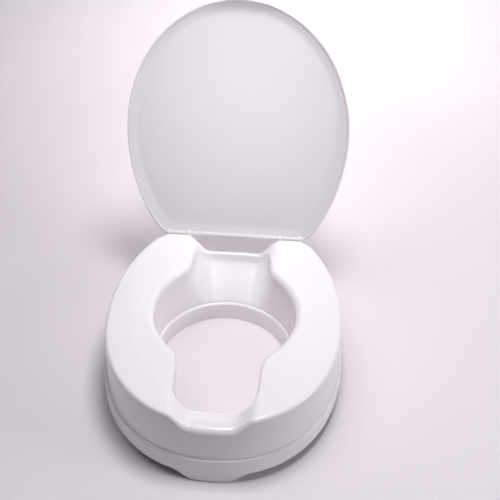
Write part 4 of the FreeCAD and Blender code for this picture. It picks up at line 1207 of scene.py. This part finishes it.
def sweep_mesh(stage):
    """A floor that curves up into a backdrop."""
    bm = bmesh.new()
    curve = 0.6
    profile = [(-stage.wide, 0.0), (stage.back - curve, 0.0)]
    profile += [(stage.back - curve * (1 - sine), curve * (1 - cosine)) for sine, cosine in quarter(12)]
    profile.append((stage.back, stage.wide))
    verts = [bm.verts.new((-stage.wide, y, z)) for y, z in profile]
    edges = [bm.edges.new(pair) for pair in zip(verts, verts[1:])]
    grown = bmesh.ops.extrude_edge_only(bm, edges=edges)["geom"]
    moved_verts = [item for item in grown if isinstance(item, bmesh.types.BMVert)]
    bmesh.ops.translate(bm, verts=moved_verts, vec=(2 * stage.wide, 0, 0))
    bmesh.ops.recalc_face_normals(bm, faces=bm.faces)
    return bm


def soft_light(name, place, aim, size_m, power, spread=180):
    """A square softbox that looks at a point and spreads so many degrees."""
    data = bpy.data.lights.new(name, "AREA")
    data.shape = "SQUARE"
    data.size = size_m
    data.energy = power
    data.color = (1.0, 0.99, 1.0)
    data.spread = math.radians(spread)
    lamp = bpy.data.objects.new(name, data)
    lamp.location = place
    lamp.rotation_euler = (Vector(aim) - Vector(place)).to_track_quat("-Z", "Y").to_euler()
    bpy.context.collection.objects.link(lamp)


class SEAT_OT_stage(bpy.types.Operator):
    """Make the camera, the floor and the soft lights"""
    bl_idname = "seat.stage"
    bl_label = "Stage"

    def execute(self, context):
        stage = context.scene.seat_stage
        ahead = Vector((math.sin(stage.yaw) * math.cos(stage.pitch),
                        math.cos(stage.yaw) * math.cos(stage.pitch), math.sin(stage.pitch)))
        level = Vector((math.cos(stage.yaw), -math.sin(stage.yaw), 0))
        upright = level.cross(ahead)
        across = math.cos(stage.roll) * level + math.sin(stage.roll) * upright
        up = -math.sin(stage.roll) * level + math.cos(stage.roll) * upright
        turn = Matrix((across, up, -ahead)).transposed().to_4x4()
        data = bpy.data.cameras.new("camera")
        data.lens = stage.focal
        data.sensor_width = 36
        camera = bpy.data.objects.new("camera", data)
        camera.matrix_world = Matrix.Translation(stage.camera_place) @ turn
        context.collection.objects.link(camera)
        context.scene.camera = camera
        as_object("paper_sweep", [sweep_mesh(stage)], "paper")
        soft_light("top_softbox", (0.13, 0.0, 1.35), (0.13, 0.0, 0), 0.4, 10)
        soft_light("right_softbox", (1.6, -0.3, 0.8), (0, 0, 0.15), 0.6, 8)
        soft_light("floor_softbox", (0.2, 1.9, 2.0), (0.2, 1.9, 0), 1.2, 28, 75)
        soft_light("lid_softbox", (0.1, -1.2, 1.6), (0.0, 0.22, 0.35), 0.2, 0.18, 18)
        soft_light("room_softbox", (-1.0, 0.0, 2.2), (-1.0, 0.0, 0), 1.0, 8.5)
        world = bpy.data.worlds.new("room")
        world.use_nodes = True
        background = world.node_tree.nodes["Background"].inputs
        background["Color"].default_value = (1.0, 0.97, 1.0, 1)
        background["Strength"].default_value = 0.09
        context.scene.world = world
        context.scene.view_settings.view_transform = "Standard"
        return {"FINISHED"}


# ---------------------------------------------------------------- panel and registration

PIECE_OPERATORS = (SEAT_OT_stage, SEAT_OT_shell, SEAT_OT_ribs, SEAT_OT_collar, SEAT_OT_lid,
                   SEAT_OT_hinge_clips, SEAT_OT_screws, SEAT_OT_rim_pads, SEAT_OT_clamp_rails,
                   SEAT_OT_clamp_brackets, SEAT_OT_clamp_grips, SEAT_OT_clamp_bolts,
                   SEAT_OT_clamp_knobs)
SETTINGS = {"seat_sizes": SeatSizes, "collar_sizes": CollarSizes, "lid_sizes": LidSizes,
            "seat_finishes": Finishes, "seat_stage": StageSizes}


class SEAT_PT_panel(bpy.types.Panel):
    """Sizes, colours and pieces of the seat"""
    bl_idname = "SEAT_PT_panel"
    bl_label = "Raised seat"
    bl_space_type = "VIEW_3D"
    bl_region_type = "UI"
    bl_category = "Raised seat"

    def draw(self, context):
        for operator in PIECE_OPERATORS:
            self.layout.operator(operator.bl_idname)
        for name, group in SETTINGS.items():
            box = self.layout.box()
            box.label(text=group.__doc__)
            for field in group.__annotations__:
                box.prop(getattr(context.scene, name), field)


def register():
    """Add the settings, the operators and the panel."""
    for name, group in SETTINGS.items():
        bpy.utils.register_class(group)
        setattr(bpy.types.Scene, name, PointerProperty(type=group))
    for item in (*PIECE_OPERATORS, SEAT_PT_panel):
        bpy.utils.register_class(item)


def unregister():
    """Take the settings, the operators and the panel away again."""
    for item in (SEAT_PT_panel, *reversed(PIECE_OPERATORS)):
        bpy.utils.unregister_class(item)
    for name, group in SETTINGS.items():
        delattr(bpy.types.Scene, name)
        bpy.utils.unregister_class(group)


def main():
    """Register and make every piece in order."""
    register()
    for operator in PIECE_OPERATORS:
        group, name = operator.bl_idname.split(".")
        getattr(getattr(bpy.ops, group), name)()


if __name__ == "__main__":
    main()
